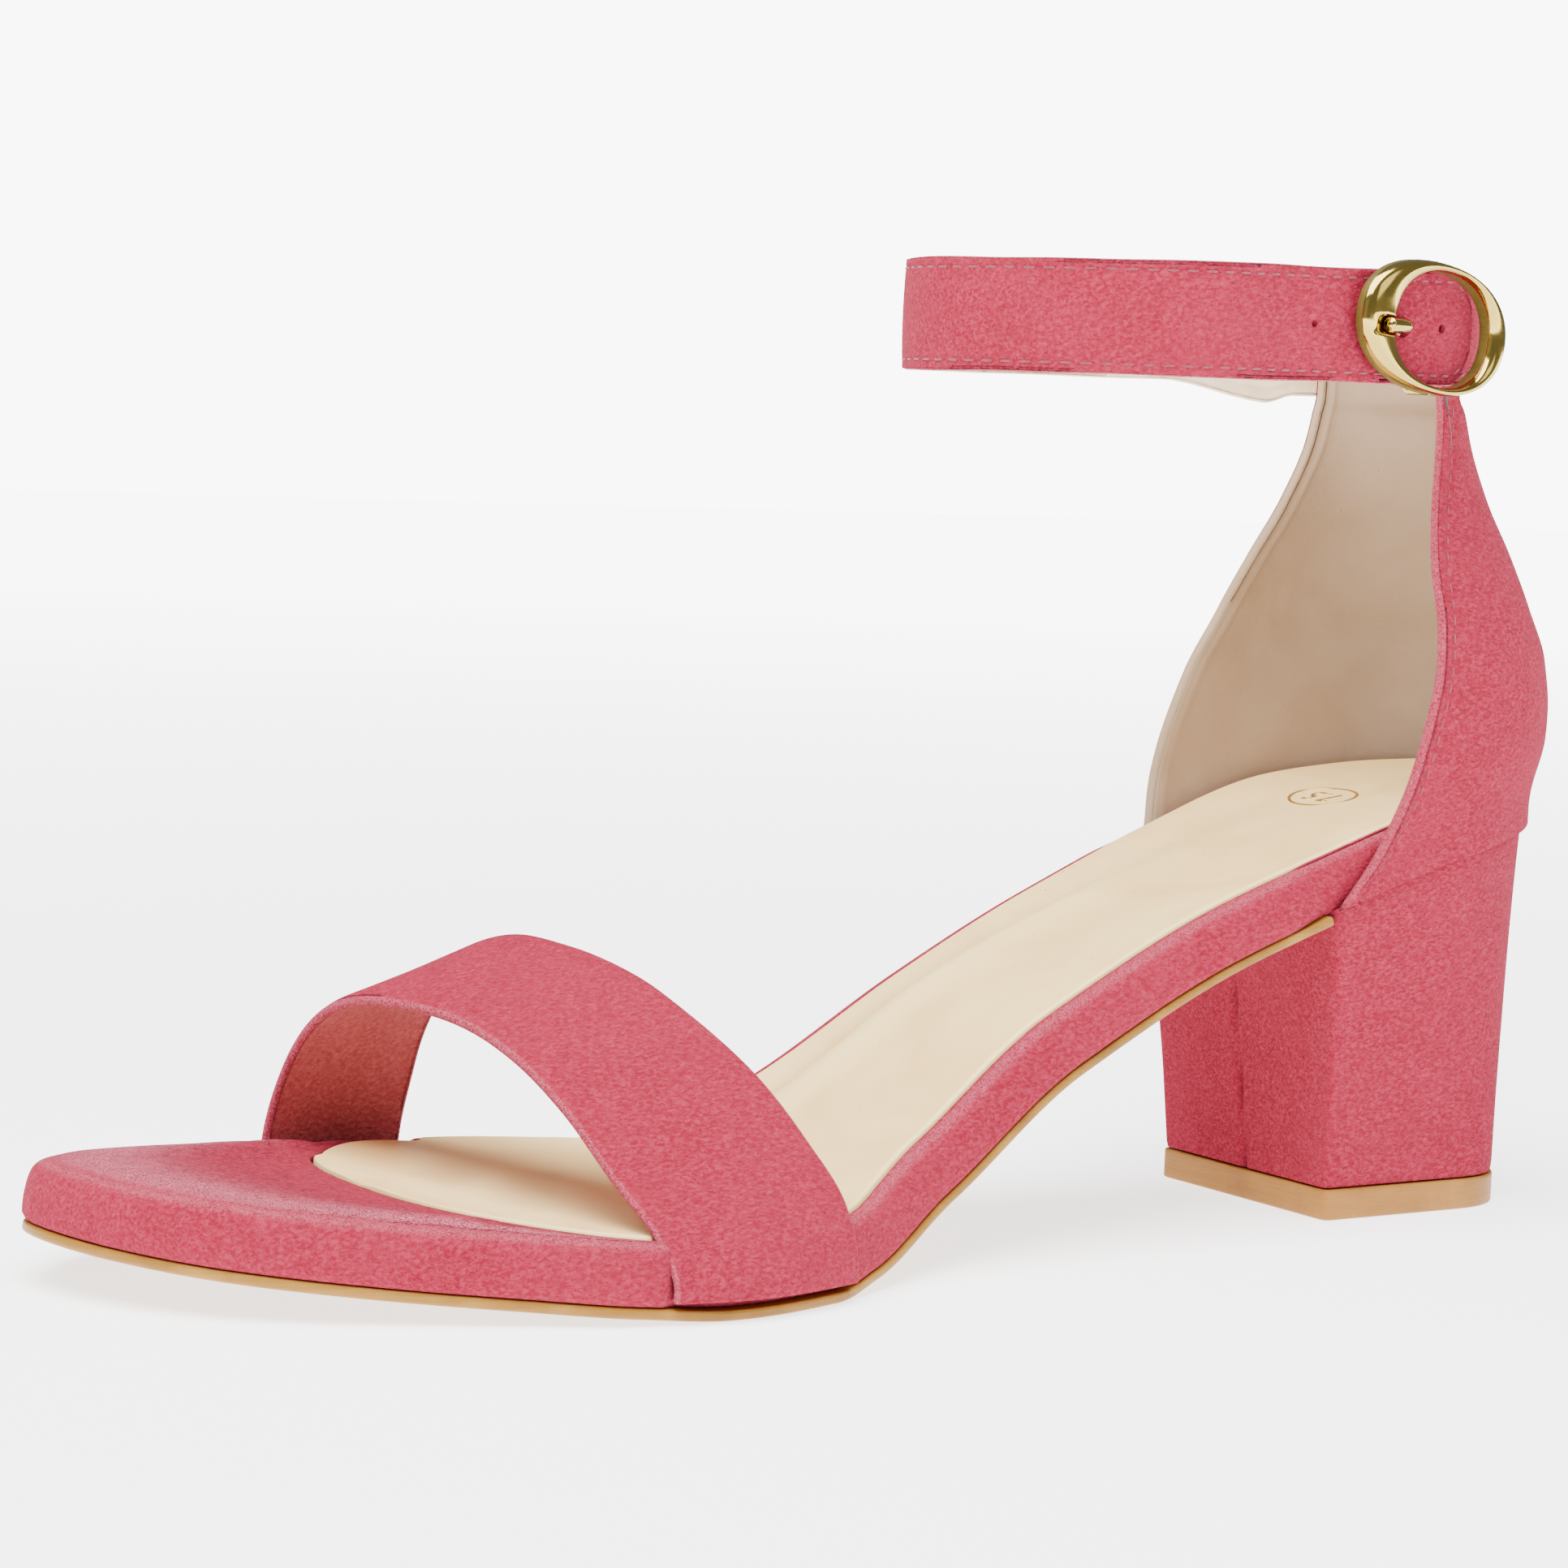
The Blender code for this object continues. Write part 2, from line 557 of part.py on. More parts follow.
def seat_of_buckle(loop):
    """Middle of the ring's back face on the strap's second layer, and the turn of its frame.

    In that frame +X points out of the strap, +Y along it to the rear, and +Z up.
    """
    place = loop.at([loop.bar])[0]
    normal = loop.normal([loop.bar])[0]
    place = place + normal * (STRAP + 2 * GAP)
    level = STRAP_LEVEL - STRAP_FALL * float(strap_forward(place[1]))
    return Vector((*place, level)), math.atan2(normal[1], normal[0])


def set_on_buckle(piece, seat, turn):
    piece.location = seat
    piece.rotation_euler = (0, 0, turn)


def cutter(name, radius, depth, collection):
    """Cylinder along its own X axis for a Boolean, left out of the model."""
    shape = bmesh.new()
    bmesh.ops.create_cone(shape, cap_ends=True, segments=20, radius1=radius, radius2=radius, depth=depth)
    bmesh.ops.rotate(shape, verts=shape.verts, matrix=Matrix.Rotation(math.pi / 2, 3, "Y"))
    mesh = bpy.data.meshes.new(name)
    shape.to_mesh(mesh)
    shape.free()
    piece = bpy.data.objects.new(name, mesh)
    collection.objects.link(piece)
    piece.hide_render = True
    piece.display_type = "WIRE"
    return piece


def combine(piece, other, operation):
    change = piece.modifiers.new(other.name, "BOOLEAN")
    change.operation = operation
    change.solver = "EXACT"
    change.object = other


def bar_depth():
    """Middle of the bar behind the ring's back face."""
    return -(2 * GAP + STRAP + BAR / 2)


def prong_rest():
    """Middle of the prong's tip in front of the ring's back face."""
    return BUCKLE_THICK - NOTCH + GAP + PRONG / 2


def make_buckle_frame(seat, turn, collection, cutters):
    """Oval ring with a broad front rim, two ears past the strap's edges, and the bar between them."""
    section = ((0, 0), (1, 0), (1, .42), (.86, .80), (.50, 1), (.14, .80), (0, .42))
    rows = []
    for angle in np.linspace(0.0, 2 * math.pi, RING_STATIONS, endpoint=False):
        outer = Vector((BUCKLE_LENGTH / 2 * math.cos(angle), BUCKLE_HEIGHT / 2 * math.sin(angle)))
        inner = Vector((BUCKLE_OPEN_SHIFT + BUCKLE_OPEN_LENGTH / 2 * math.cos(angle),
                        BUCKLE_OPEN_HEIGHT / 2 * math.sin(angle)))
        row = []
        for across, out in section:
            y, z = inner.lerp(outer, across)
            row.append((out * BUCKLE_THICK, y * math.cos(BUCKLE_TURN) + z * math.sin(BUCKLE_TURN),
                        z * math.cos(BUCKLE_TURN) - y * math.sin(BUCKLE_TURN)))
        rows.append(row)
    shape = bmesh.new()
    rings = [[shape.verts.new(point) for point in row] for row in rows]
    for ring, other in zip(rings, rings[1:] + rings[:1]):
        for i in range(len(section)):
            j = (i + 1) % len(section)
            shape.faces.new((ring[i], ring[j], other[j], other[i]))
    bmesh.ops.recalc_face_normals(shape, faces=shape.faces)
    mesh = bpy.data.meshes.new("buckle_frame")
    shape.to_mesh(mesh)
    shape.free()
    frame = new_object("buckle_frame", mesh, GOLD, collection)
    set_on_buckle(frame, seat, turn)

    ear_height = (BUCKLE_HEIGHT - STRAP_HEIGHT) / 2 - GAP - EAR_LAP
    yoke = bmesh.new()
    for sign in (1, -1):
        ear = bmesh.ops.create_cube(yoke, size=1.0)["verts"]
        reach = BUCKLE_THICK / 2 - bar_depth() + BAR / 2 + EAR_LAP
        bmesh.ops.scale(yoke, verts=ear, vec=(reach, EAR, ear_height))
        middle = sign * (STRAP_HEIGHT / 2 + GAP + ear_height / 2)
        bmesh.ops.translate(yoke, verts=ear, vec=(BUCKLE_THICK / 2 - reach / 2, 0, middle))
    ears = new_object("buckle_ears", bpy.data.meshes.new("buckle_ears"), GOLD, cutters)
    yoke.to_mesh(ears.data)
    yoke.free()
    bar = cutter("buckle_bar", BAR / 2, STRAP_HEIGHT + 2 * GAP + ear_height, cutters)
    bar.rotation_euler = (0, math.pi / 2, turn)
    bar.location = seat + Matrix.Rotation(turn, 3, "Z") @ Vector((bar_depth(), 0, 0))
    ears.hide_render = True
    ears.display_type = "WIRE"
    set_on_buckle(ears, seat, turn)
    combine(frame, ears, "UNION")
    combine(frame, bar, "UNION")
    notch = cutter("prong_notch", PRONG / 2 + GAP, BUCKLE_LENGTH / 2, cutters)
    front = BUCKLE_OPEN_SHIFT - BUCKLE_OPEN_LENGTH / 2
    notch.rotation_euler = (0, 0, turn + math.pi / 2)
    notch.location = seat + Matrix.Rotation(turn, 3, "Z") @ Vector((prong_rest(), front, 0))
    combine(frame, notch, "DIFFERENCE")
    return frame


def make_prong(seat, turn, collection):
    """Bent pin from behind the strap, out through its hole and onto the front rim."""
    front = BUCKLE_OPEN_SHIFT - BUCKLE_OPEN_LENGTH / 2
    deep = -(3 * GAP + STRAP + PRONG / 2)
    rest = prong_rest()
    root = -(BAR + PRONG) / 2 - GAP
    near = PRONG_BEND * (1 - math.sqrt(0.5))
    route = ((deep, root), (deep, PRONG_BEND - HOLE_AHEAD), (deep + near, near - HOLE_AHEAD),
             (deep + PRONG_BEND, -HOLE_AHEAD), (0, -HOLE_AHEAD), (rest - PRONG_BEND, -HOLE_AHEAD),
             (rest - near, -HOLE_AHEAD - near), (rest, -HOLE_AHEAD - PRONG_BEND), (rest, front - PRONG_REST))
    curve = bpy.data.curves.new("buckle_prong", "CURVE")
    curve.dimensions = "3D"
    curve.bevel_depth = PRONG / 2
    curve.bevel_resolution = 2
    curve.use_fill_caps = True
    spline = curve.splines.new("POLY")
    places = through(route, 24)
    spline.points.add(len(places) - 1)
    for point, (out, along) in zip(spline.points, places):
        point.co = (out, along, 0, 1)
    prong = bpy.data.objects.new("buckle_prong", curve)
    material = bpy.data.materials["metal_gold"]
    curve.materials.append(material)
    collection.objects.link(prong)
    set_on_buckle(prong, seat, turn)
    return prong


def set_origin(pieces, empty):
    """Moves the empty so that the origin is under the middle of the shoe's box."""
    bpy.context.view_layer.update()
    graph = bpy.context.evaluated_depsgraph_get()
    corners = []
    for piece in pieces:
        shown = piece.evaluated_get(graph)
        mesh = shown.to_mesh()
        corners.extend(shown.matrix_world @ vertex.co for vertex in mesh.vertices)
        shown.to_mesh_clear()
    low = [min(corner[axis] for corner in corners) for axis in range(3)]
    high = [max(corner[axis] for corner in corners) for axis in range(3)]
    empty.location = (-(low[0] + high[0]) / 2, -(low[1] + high[1]) / 2, -low[2])


def main():
    for item in list(bpy.data.objects):
        bpy.data.objects.remove(item, do_unlink=True)
    parts = bpy.data.collections.new("block_heel_sandal")
    cutters = bpy.data.collections.new("cutters")
    bpy.context.scene.collection.children.link(parts)
    bpy.context.scene.collection.children.link(cutters)
    loop = Loop()
    seat, turn = seat_of_buckle(loop)
    strap = make_strap(loop, parts)
    hole = cutter("prong_hole", PRONG_HOLE / 2, 4 * STRAP, cutters)
    hole.location = seat + Matrix.Rotation(turn, 3, "Z") @ Vector((-GAP, -HOLE_AHEAD, 0))
    hole.rotation_euler = (0, 0, turn)
    combine(strap, hole, "DIFFERENCE")
    pieces = [make_outsole(parts), make_footbed(parts), make_sock(parts), make_heel(parts),
              make_heel_tip(parts), make_toe_band(parts), make_counter(parts), strap,
              make_buckle_frame(seat, turn, parts, cutters), make_prong(seat, turn, parts)]
    empty = bpy.data.objects.new("sandal", None)
    parts.objects.link(empty)
    set_origin(pieces, empty)
    for item in list(parts.objects) + list(cutters.objects):
        if item is not empty:
            item.parent = empty


main()
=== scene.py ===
"""Block heel sandal, the left shoe: suede, leather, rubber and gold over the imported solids.

Shapes are drawn as in the part's source: metres, x = 0 the heel's middle line, +X to the outer
side, y = 0 the back of the sole, the toe to -Y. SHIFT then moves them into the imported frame.
"""
import itertools
import math

import bmesh
import bpy
import numpy as np
from mathutils import Matrix, Vector


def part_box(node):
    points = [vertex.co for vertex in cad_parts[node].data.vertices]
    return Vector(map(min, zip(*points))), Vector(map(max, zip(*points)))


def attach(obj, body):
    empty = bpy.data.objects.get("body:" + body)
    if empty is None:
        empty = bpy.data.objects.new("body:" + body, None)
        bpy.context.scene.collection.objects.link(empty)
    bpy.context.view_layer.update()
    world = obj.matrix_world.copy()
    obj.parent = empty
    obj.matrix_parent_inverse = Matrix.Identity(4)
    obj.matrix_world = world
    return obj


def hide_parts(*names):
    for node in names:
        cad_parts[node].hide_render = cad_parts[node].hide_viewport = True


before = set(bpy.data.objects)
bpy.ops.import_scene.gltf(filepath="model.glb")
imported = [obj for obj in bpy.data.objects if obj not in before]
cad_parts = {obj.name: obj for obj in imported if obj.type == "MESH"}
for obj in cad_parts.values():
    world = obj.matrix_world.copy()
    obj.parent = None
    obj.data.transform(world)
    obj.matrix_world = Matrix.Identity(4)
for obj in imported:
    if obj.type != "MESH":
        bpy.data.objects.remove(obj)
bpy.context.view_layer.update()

LENGTH, BALL_WIDTH, HEEL_RISE, TOE_SPRING = 0.240, 0.088, 0.0570, 0.0068
OUTSOLE, OUTSOLE_MARGIN, FOOTBED, EDGE_ROUND = 0.0022, 0.0006, 0.0073, 0.0026
SOCK, SOCK_MARGIN, SOCK_BACK, SOCK_FRONT, SOCK_ROUND = 0.0010, 0.0031, 0.0029, 0.0427, 0.0300
SOCK_FRONT_SQUARE, SOCK_BACK_SQUARE = 2.5, 6
TIP, TIP_WIDTH, TIP_FRONT, TIP_BACK = 0.0046, 0.0389, 0.0457, 0.0054
TIP_ROUND, TIP_SQUARE = 0.0150, 2.6
BREAST_TOP, TIP_LIP, HEEL_LIP = 0.0508, 0.0002, 0.0002
BAND_WALL, BAND_PROUD, BAND_RISE, BAND_RECESS = 0.0014, 0.0006, 0.0412, 0.0028
BAND_BEYOND, BAND_RAMP, BAND_FOOT_RISE, BAND_FADE = -0.0012, 0.0030, 0.0020, 0.0240
COUNTER_WALL, COUNTER_RECESS, COUNTER_TAB, COUNTER_HALF = 0.0018, 0.0012, 0.0067, 0.0284
COUNTER_DEPTH, COUNTER_RAMP, COUNTER_FOLLOW = 0.0508, 0.0080, 0.16
STRAP, STRAP_HEIGHT, STRAP_NARROWING = 0.0017, 0.0168, 0.0008
STRAP_LEVEL, STRAP_FALL = 0.1325, 0.0014
STRAP_BACK, STRAP_DEPTH, STRAP_HALF = 0.0140, 0.0958, 0.0282
STRAP_TAIL, STRAP_CLIMB = 0.0150, 0.0180
TAIL_TAPER, TAIL_SQUARE, TAIL_TIP = 0.0060, 2.5, 0.38
BUCKLE_LENGTH, BUCKLE_HEIGHT, BUCKLE_THICK = 0.0309, 0.0189, 0.0030
BUCKLE_OPEN_LENGTH, BUCKLE_OPEN_HEIGHT, BUCKLE_OPEN_SHIFT = 0.0205, 0.0164, 0.0016
BUCKLE_PLACE, BUCKLE_TURN, BAR = 0.0425, math.radians(8), 0.0015
PRONG, PRONG_BEND, PRONG_HOLE, PRONG_REST = 0.0021, 0.0013, 0.0030, 0.0046
HOLE_AHEAD, NOTCH = 0.0045, 0.0009
GAP = 0.0003

SOLE = {
    "along": (0, .02, .06, .12, .20, .30, .40, .50, .57, .61, .69, .74, .80, .87, .94, .98, 1),
    "centre": (0, -.017, -.012, -.004, .015, .036, .080, .078, .064, .056, .016, -.006, -.024,
               -.050, -.085, -.140, -.195),
    "half": (0, .303, .485, .583, .560, .520, .518, .600, .770, .880, 1.0, .985, .870, .720,
             .526, .292, 0),
    "rise": (1, .988, .960, .912, .805, .646, .450, .175, .030, 0, 0, 0, 0, 0, 0, 0, 0),
    "spring": (0, 0, 0, 0, 0, 0, 0, 0, 0, 0, 0, .12, .27, .47, .72, .88, 1),
}
FOOTBED_EDGE = {
    "height": (0, .10, .35, .60, .78, .92, 1),
    "inset": (.30, .06, 0, .04, .16, .45, 1),
    "pressed": (.50, .54, .74, .90, 1, 1, 1),
}
HEEL = {"level": (0, .15, .35, .60, .82, 1), "spread": (0, .09, .22, .43, .70, 1)}
COUNTER = {
    "level": (0, .06, .12, .21, .31, .41, .51, .61, .71, .77, .80, 1),
    "half": (.905, .945, .970, .985, .975, .905, .770, .630, .546, .515, .500, .490),
    "back": (-.020, -.018, -.020, -.014, .022, .080, .130, .202, .266, .292, .324, .330),
    "lateral": (1, .885, .828, .768, .715, .675, .645, .587, .540, .525, .522, .535),
    "medial": (1, .955, .920, .868, .792, .708, .655, .600, .552, .540, .535, .550),
    "square": (2.5, 2.5, 2.5, 2.5, 2.5, 2.4, 2.3, 2.2, 2.1, 2.0, 2.0, 2.0),
}
BAND_FRONT = {
    "across": (.918, .722, .520, .288, .045, -.215, -.465, -.690, -.832, -.885),
    "rise": (.265, .430, .605, .746, .828, .843, .788, .650, .455, .300),
}
BAND_REAR = {
    "across": (.865, .705, .510, .272, .034, -.227, -.490, -.730, -.905, -.962),
    "rise": (.310, .505, .680, .828, .942, 1, .978, .852, .610, .400),
}
BAND_FEET = {"lateral": (.725, .597), "medial": (.800, .700)}
LOOP = {
    "along": (0, .013, .039, .078, .135, .20, .264, .331, .404, .528, .684, .808, .902, .969, 1),
    "half": (0, .270, .425, .590, .740, .823, .870, .896, .914, .960, 1, .905, .690, .400, 0),
    "centre": (0, 0, 0, 0, 0, 0, .005, .010, .015, .03, .03, .02, 0, -.02, -.03),
}
MM = 0.001

# only here, not in the drawing: what the photo shows beyond the solids
OUTSOLE_SHOWN, WRAP_LOW = 0.72, 0.7 * MM
BLOCK_CORNER = 1.2 * MM
BAND_SHOULDER, SHOULDER_REACH, SHOULDER_IN, SHOULDER_UP = -0.0265, 0.0125, 0.9 * MM, 2.2 * MM
TAIL_SHORTER = 3.5 * MM
STRAP_NARROWER, NARROWER_FROM, NARROWER_RAMP = 0.16, -0.0310, 0.0045
STITCH_IN, COUNTER_STITCH_IN = 1.5 * MM, 2.6 * MM

tip_low, tip_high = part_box("heel_tip")
SHIFT = np.array([(tip_low.x + tip_high.x) / 2, tip_high.y + TIP_BACK - TIP_LIP, 0.0])


# ---------------------------------------------------------------- curves and fields

def smooth(xs, ys, x, slopes=False):
    """Cubic through the points that never overshoots between them, or its slope."""
    xs = np.asarray(xs, float)
    ys = np.asarray(ys, float)
    x = np.clip(np.asarray(x, float), xs[0], xs[-1])
    step = np.diff(xs)
    rate = np.diff(ys) / step
    both = rate[:-1] * rate[1:]
    total = np.where(both > 0, rate[:-1] + rate[1:], 1.0)
    tangent = np.concatenate([rate[:1], np.where(both > 0, 2 * both / total, 0.0), rate[-1:]])
    i = np.clip(np.searchsorted(xs, x, side="right") - 1, 0, len(step) - 1)
    t = (x - xs[i]) / step[i]
    y0, y1, m0, m1 = ys[i], ys[i + 1], tangent[i] * step[i], tangent[i + 1] * step[i]
    if slopes:
        change = (6 * t * t - 6 * t) * (y0 - y1)
        change = change + (3 * t * t - 4 * t + 1) * m0 + (3 * t * t - 2 * t) * m1
        return change / step[i]
    value = y0 * (1 + 2 * t) * (1 - t) ** 2 + y1 * t * t * (3 - 2 * t)
    return value + t * (1 - t) * ((1 - t) * m0 - t * m1)


def ease(value):
    t = np.clip(value, 0.0, 1.0)
    return t * t * (3 - 2 * t)


def bell(value):
    return np.exp(-np.square(value))


def through(points, count):
    """Evenly spaced places on a smooth curve through the points."""
    points = np.asarray(points, float)
    chord = np.linalg.norm(np.diff(points, axis=0), axis=1)
    knots = np.concatenate([[0.0], np.cumsum(chord)])
    tangent = np.gradient(points, knots, axis=0)
    at = np.linspace(0.0, knots[-1], count)
    i = np.clip(np.searchsorted(knots, at, side="right") - 1, 0, len(chord) - 1)
    t = ((at - knots[i]) / chord[i])[:, None]
    h = chord[i][:, None]
    blend = points[i] * (1 + 2 * t) * (1 - t) ** 2 + points[i + 1] * t * t * (3 - 2 * t)
    return blend + h * t * (1 - t) * (tangent[i] * (1 - t) - tangent[i + 1] * t)


def unit(vectors):
    return vectors / np.linalg.norm(vectors, axis=-1)[..., None]


def travelled(points):
    """Length of the path up to each of its points."""
    return np.concatenate([[0.0], np.cumsum(np.linalg.norm(np.diff(points, axis=0), axis=1))])


def read_at(where, travel, values):
    """The values between their own places along a path, column by column."""
    return np.column_stack([np.interp(where, travel, column) for column in values.T])


def lumps(points, cell, seed):
    """Smooth random field between about -1 and 1, with lumps about one cell across."""
    order = np.random.RandomState(seed).permutation(1024)
    value = np.random.RandomState(seed + 1).rand(1024) * 2 - 1
    grid = np.asarray(points, float) / cell
    base = np.floor(grid).astype(int)
    part = ease(grid - base)
    total = np.zeros(grid.shape[:-1])
    for corner in itertools.product((0, 1), repeat=3):
        weight = np.ones(grid.shape[:-1])
        index = 0
        for axis in range(3):
            weight = weight * (part[..., axis] if corner[axis] else 1 - part[..., axis])
            index = order[(base[..., axis] + corner[axis] + index) % 1024]
        total += weight * value[index]
    return total


# ---------------------------------------------------------------- the shoe's plan, as in the source

def half_width(along):
    square = smooth(SOLE["along"], np.square(SOLE["half"]), along)
    return BALL_WIDTH / 2 * np.sqrt(np.maximum(square, 0.0))


def centre_line(along):
    return BALL_WIDTH / 2 * smooth(SOLE["along"], SOLE["centre"], along)


def underside(y):
    along = -np.asarray(y, float) / LENGTH
    rise = HEEL_RISE * smooth(SOLE["along"], SOLE["rise"], along)
    spring = TOE_SPRING * smooth(SOLE["along"], SOLE["spring"], along)
    slope = HEEL_RISE * smooth(SOLE["along"], SOLE["rise"], along, slopes=True)
    slope = slope + TOE_SPRING * smooth(SOLE["along"], SOLE["spring"], along, slopes=True)
    return rise + spring, slope / LENGTH


def lift(plan, height):
    level, slope = underside(plan[:, 1])
    size = np.sqrt(1 + slope ** 2)
    return np.column_stack([plan[:, 0], plan[:, 1] + height * slope / size, level + height / size])


def outward(ring):
    """Outward normals of a closed plan, also where two of its points coincide."""
    after = np.roll(ring, -1, axis=0)
    before = np.roll(ring, 1, axis=0)
    same_after = np.linalg.norm(after - ring, axis=1) < 1e-9
    same_before = np.linalg.norm(before - ring, axis=1) < 1e-9
    after[same_after] = np.roll(ring, -2, axis=0)[same_after]
    before[same_before] = np.roll(ring, 2, axis=0)[same_before]
    tangent = unit(after - before)
    return np.column_stack([-tangent[:, 1], tangent[:, 0]])


def round_shares(count):
    return (1 - np.cos(np.linspace(0.0, math.pi, count))) / 2


def ring_of(along, half):
    centre = centre_line(along)
    lateral = np.column_stack([centre + half, -along * LENGTH])
    medial = np.column_stack([centre - half, -along * LENGTH])
    return np.vstack([lateral, medial[::-1]])


def under_band(along, side):
    front, rear = BAND_FEET[side]
    ramp = BAND_RAMP / LENGTH
    reach = BAND_BEYOND / LENGTH + ramp
    return ease((along - rear + reach) / ramp) * ease((front + reach - along) / ramp)


def recess(ring):
    """How far the footbed's side gives way to the band and to the counter."""
    back = -ring[:, 1]
    along = back / LENGTH
    lateral = ring[:, 0] > centre_line(along)
    band = np.where(lateral, under_band(along, "lateral"), under_band(along, "medial"))
    counter = ease((COUNTER_DEPTH + COUNTER_RAMP - back) / COUNTER_RAMP)
    return BAND_RECESS * band, COUNTER_RECESS * counter


def end_stations(count):
    """Stations that crowd towards the two ends, where the plan is round."""
    return 0.62 * round_shares(count) + 0.38 * np.linspace(0, 1, count)


def sock_plan(along_all, inset):
    start = SOCK_BACK / LENGTH
    end = 1 - SOCK_FRONT / LENGTH
    along = np.interp(along_all, (0, .1, .76, 1), (start, .1, .76, end))
    into_front = np.clip((along - end) * LENGTH / SOCK_ROUND + 1, 0, 1)
    into_rear = np.clip((start - along) * LENGTH / SOCK_ROUND + 1, 0, 1)
    rounding = (1 - into_front ** SOCK_FRONT_SQUARE) ** (1 / SOCK_FRONT_SQUARE)
    rounding = rounding * (1 - into_rear ** SOCK_BACK_SQUARE) ** (1 / 2)
    ring = ring_of(along, (half_width(along) - SOCK_MARGIN) * rounding)
    count = len(along)
    ring[:count, 0] -= BAND_RECESS * under_band(along, "lateral") * rounding
    ring[count:, 0] += (BAND_RECESS * under_band(along, "medial") * rounding)[::-1]
    return ring - outward(ring) * inset


# ---------------------------------------------------------------- materials

def dimmed(colour, share):
    return tuple(value * share for value in colour)


class Look:
    """A procedural material on one Principled shader, with small helpers for its nodes."""

    def __init__(self, name, roughness, metallic=0.0, **constants):
        self.material = bpy.data.materials.new(name)
        self.material.use_nodes = True
        self.tree = self.material.node_tree
        self.shader = self.tree.nodes["Principled BSDF"]
        self.shader.inputs["Roughness"].default_value = roughness
        self.shader.inputs["Metallic"].default_value = metallic
        for key, value in constants.items():
            self.shader.inputs[key.replace("_", " ")].default_value = value
        self.place = self.tree.nodes.new("ShaderNodeTexCoord").outputs["Object"]

    def set(self, node, socket, value):
        if hasattr(value, "is_linked"):
            self.tree.links.new(value, node.inputs[socket])
        else:
            node.inputs[socket].default_value = value

    def stretched(self, scale, turn=(0, 0, 0)):
        node = self.tree.nodes.new("ShaderNodeMapping")
        self.set(node, "Vector", self.place)
        node.inputs["Scale"].default_value = scale
        node.inputs["Rotation"].default_value = turn
        return node.outputs["Vector"]

    def noise(self, scale, detail=2.0, rough=0.5, warp=0.0, at=None):
        node = self.tree.nodes.new("ShaderNodeTexNoise")
        self.set(node, "Vector", self.place if at is None else at)
        values = {"Scale": scale, "Detail": detail, "Roughness": rough, "Distortion": warp}
        for key, value in values.items():
            node.inputs[key].default_value = value
        return node.outputs["Fac"]

    def cells(self, scale):
        node = self.tree.nodes.new("ShaderNodeTexVoronoi")
        node.feature = "F1"
        self.set(node, "Vector", self.place)
        node.inputs["Scale"].default_value = scale
        return node.outputs["Distance"]

    def distance(self):
        node = self.tree.nodes.new("ShaderNodeVectorMath")
        node.operation = "LENGTH"
        self.set(node, 0, self.place)
        return node.outputs["Value"]

    def ramp(self, value, stops):
        node = self.tree.nodes.new("ShaderNodeValToRGB")
        self.set(node, "Fac", value)
        elements = node.color_ramp.elements
        elements[0].position, elements[1].position = stops[0][0], stops[-1][0]
        for place, _ in stops[1:-1]:
            elements.new(place)
        for element, (_, colour) in zip(elements, stops):
            element.color = (*colour, 1)
        return node.outputs["Color"]

    def spread(self, value, low, high, to_low, to_high):
        node = self.tree.nodes.new("ShaderNodeMapRange")
        keys = ("Value", "From Min", "From Max", "To Min", "To Max")
        for key, item in zip(keys, (value, low, high, to_low, to_high)):
            self.set(node, key, item)
        return node.outputs["Result"]

    def math(self, operation, first, second):
        node = self.tree.nodes.new("ShaderNodeMath")
        node.operation = operation
        self.set(node, 0, first)
        self.set(node, 1, second)
        return node.outputs[0]

    def mix(self, share, first, second):
        node = self.tree.nodes.new("ShaderNodeMix")
        node.data_type = "RGBA"
        inputs = {item.identifier: item for item in node.inputs}
        outputs = {item.identifier: item for item in node.outputs}
        for key, value in (("Factor_Float", share), ("A_Color", first), ("B_Color", second)):
            if hasattr(value, "is_linked"):
                self.tree.links.new(value, inputs[key])
            else:
                inputs[key].default_value = (*value, 1) if isinstance(value, tuple) else value
        return outputs["Result_Color"]

    def attribute(self, name):
        node = self.tree.nodes.new("ShaderNodeAttribute")
        node.attribute_name = name
        return node.outputs["Fac"]

    def bump(self, height, depth, under=None):
        node = self.tree.nodes.new("ShaderNodeBump")
        node.inputs["Strength"].default_value = 1.0
        node.inputs["Distance"].default_value = depth
        self.set(node, "Height", height)
        if under is not None:
            self.set(node, "Normal", under)
        return node.outputs["Normal"]

    def finish(self, colour, normal=None, roughness=None):
        self.set(self.shader, "Base Color", colour)
        if normal is not None:
            self.set(self.shader, "Normal", normal)
        if roughness is not None:
            self.set(self.shader, "Roughness", roughness)
        return self.material


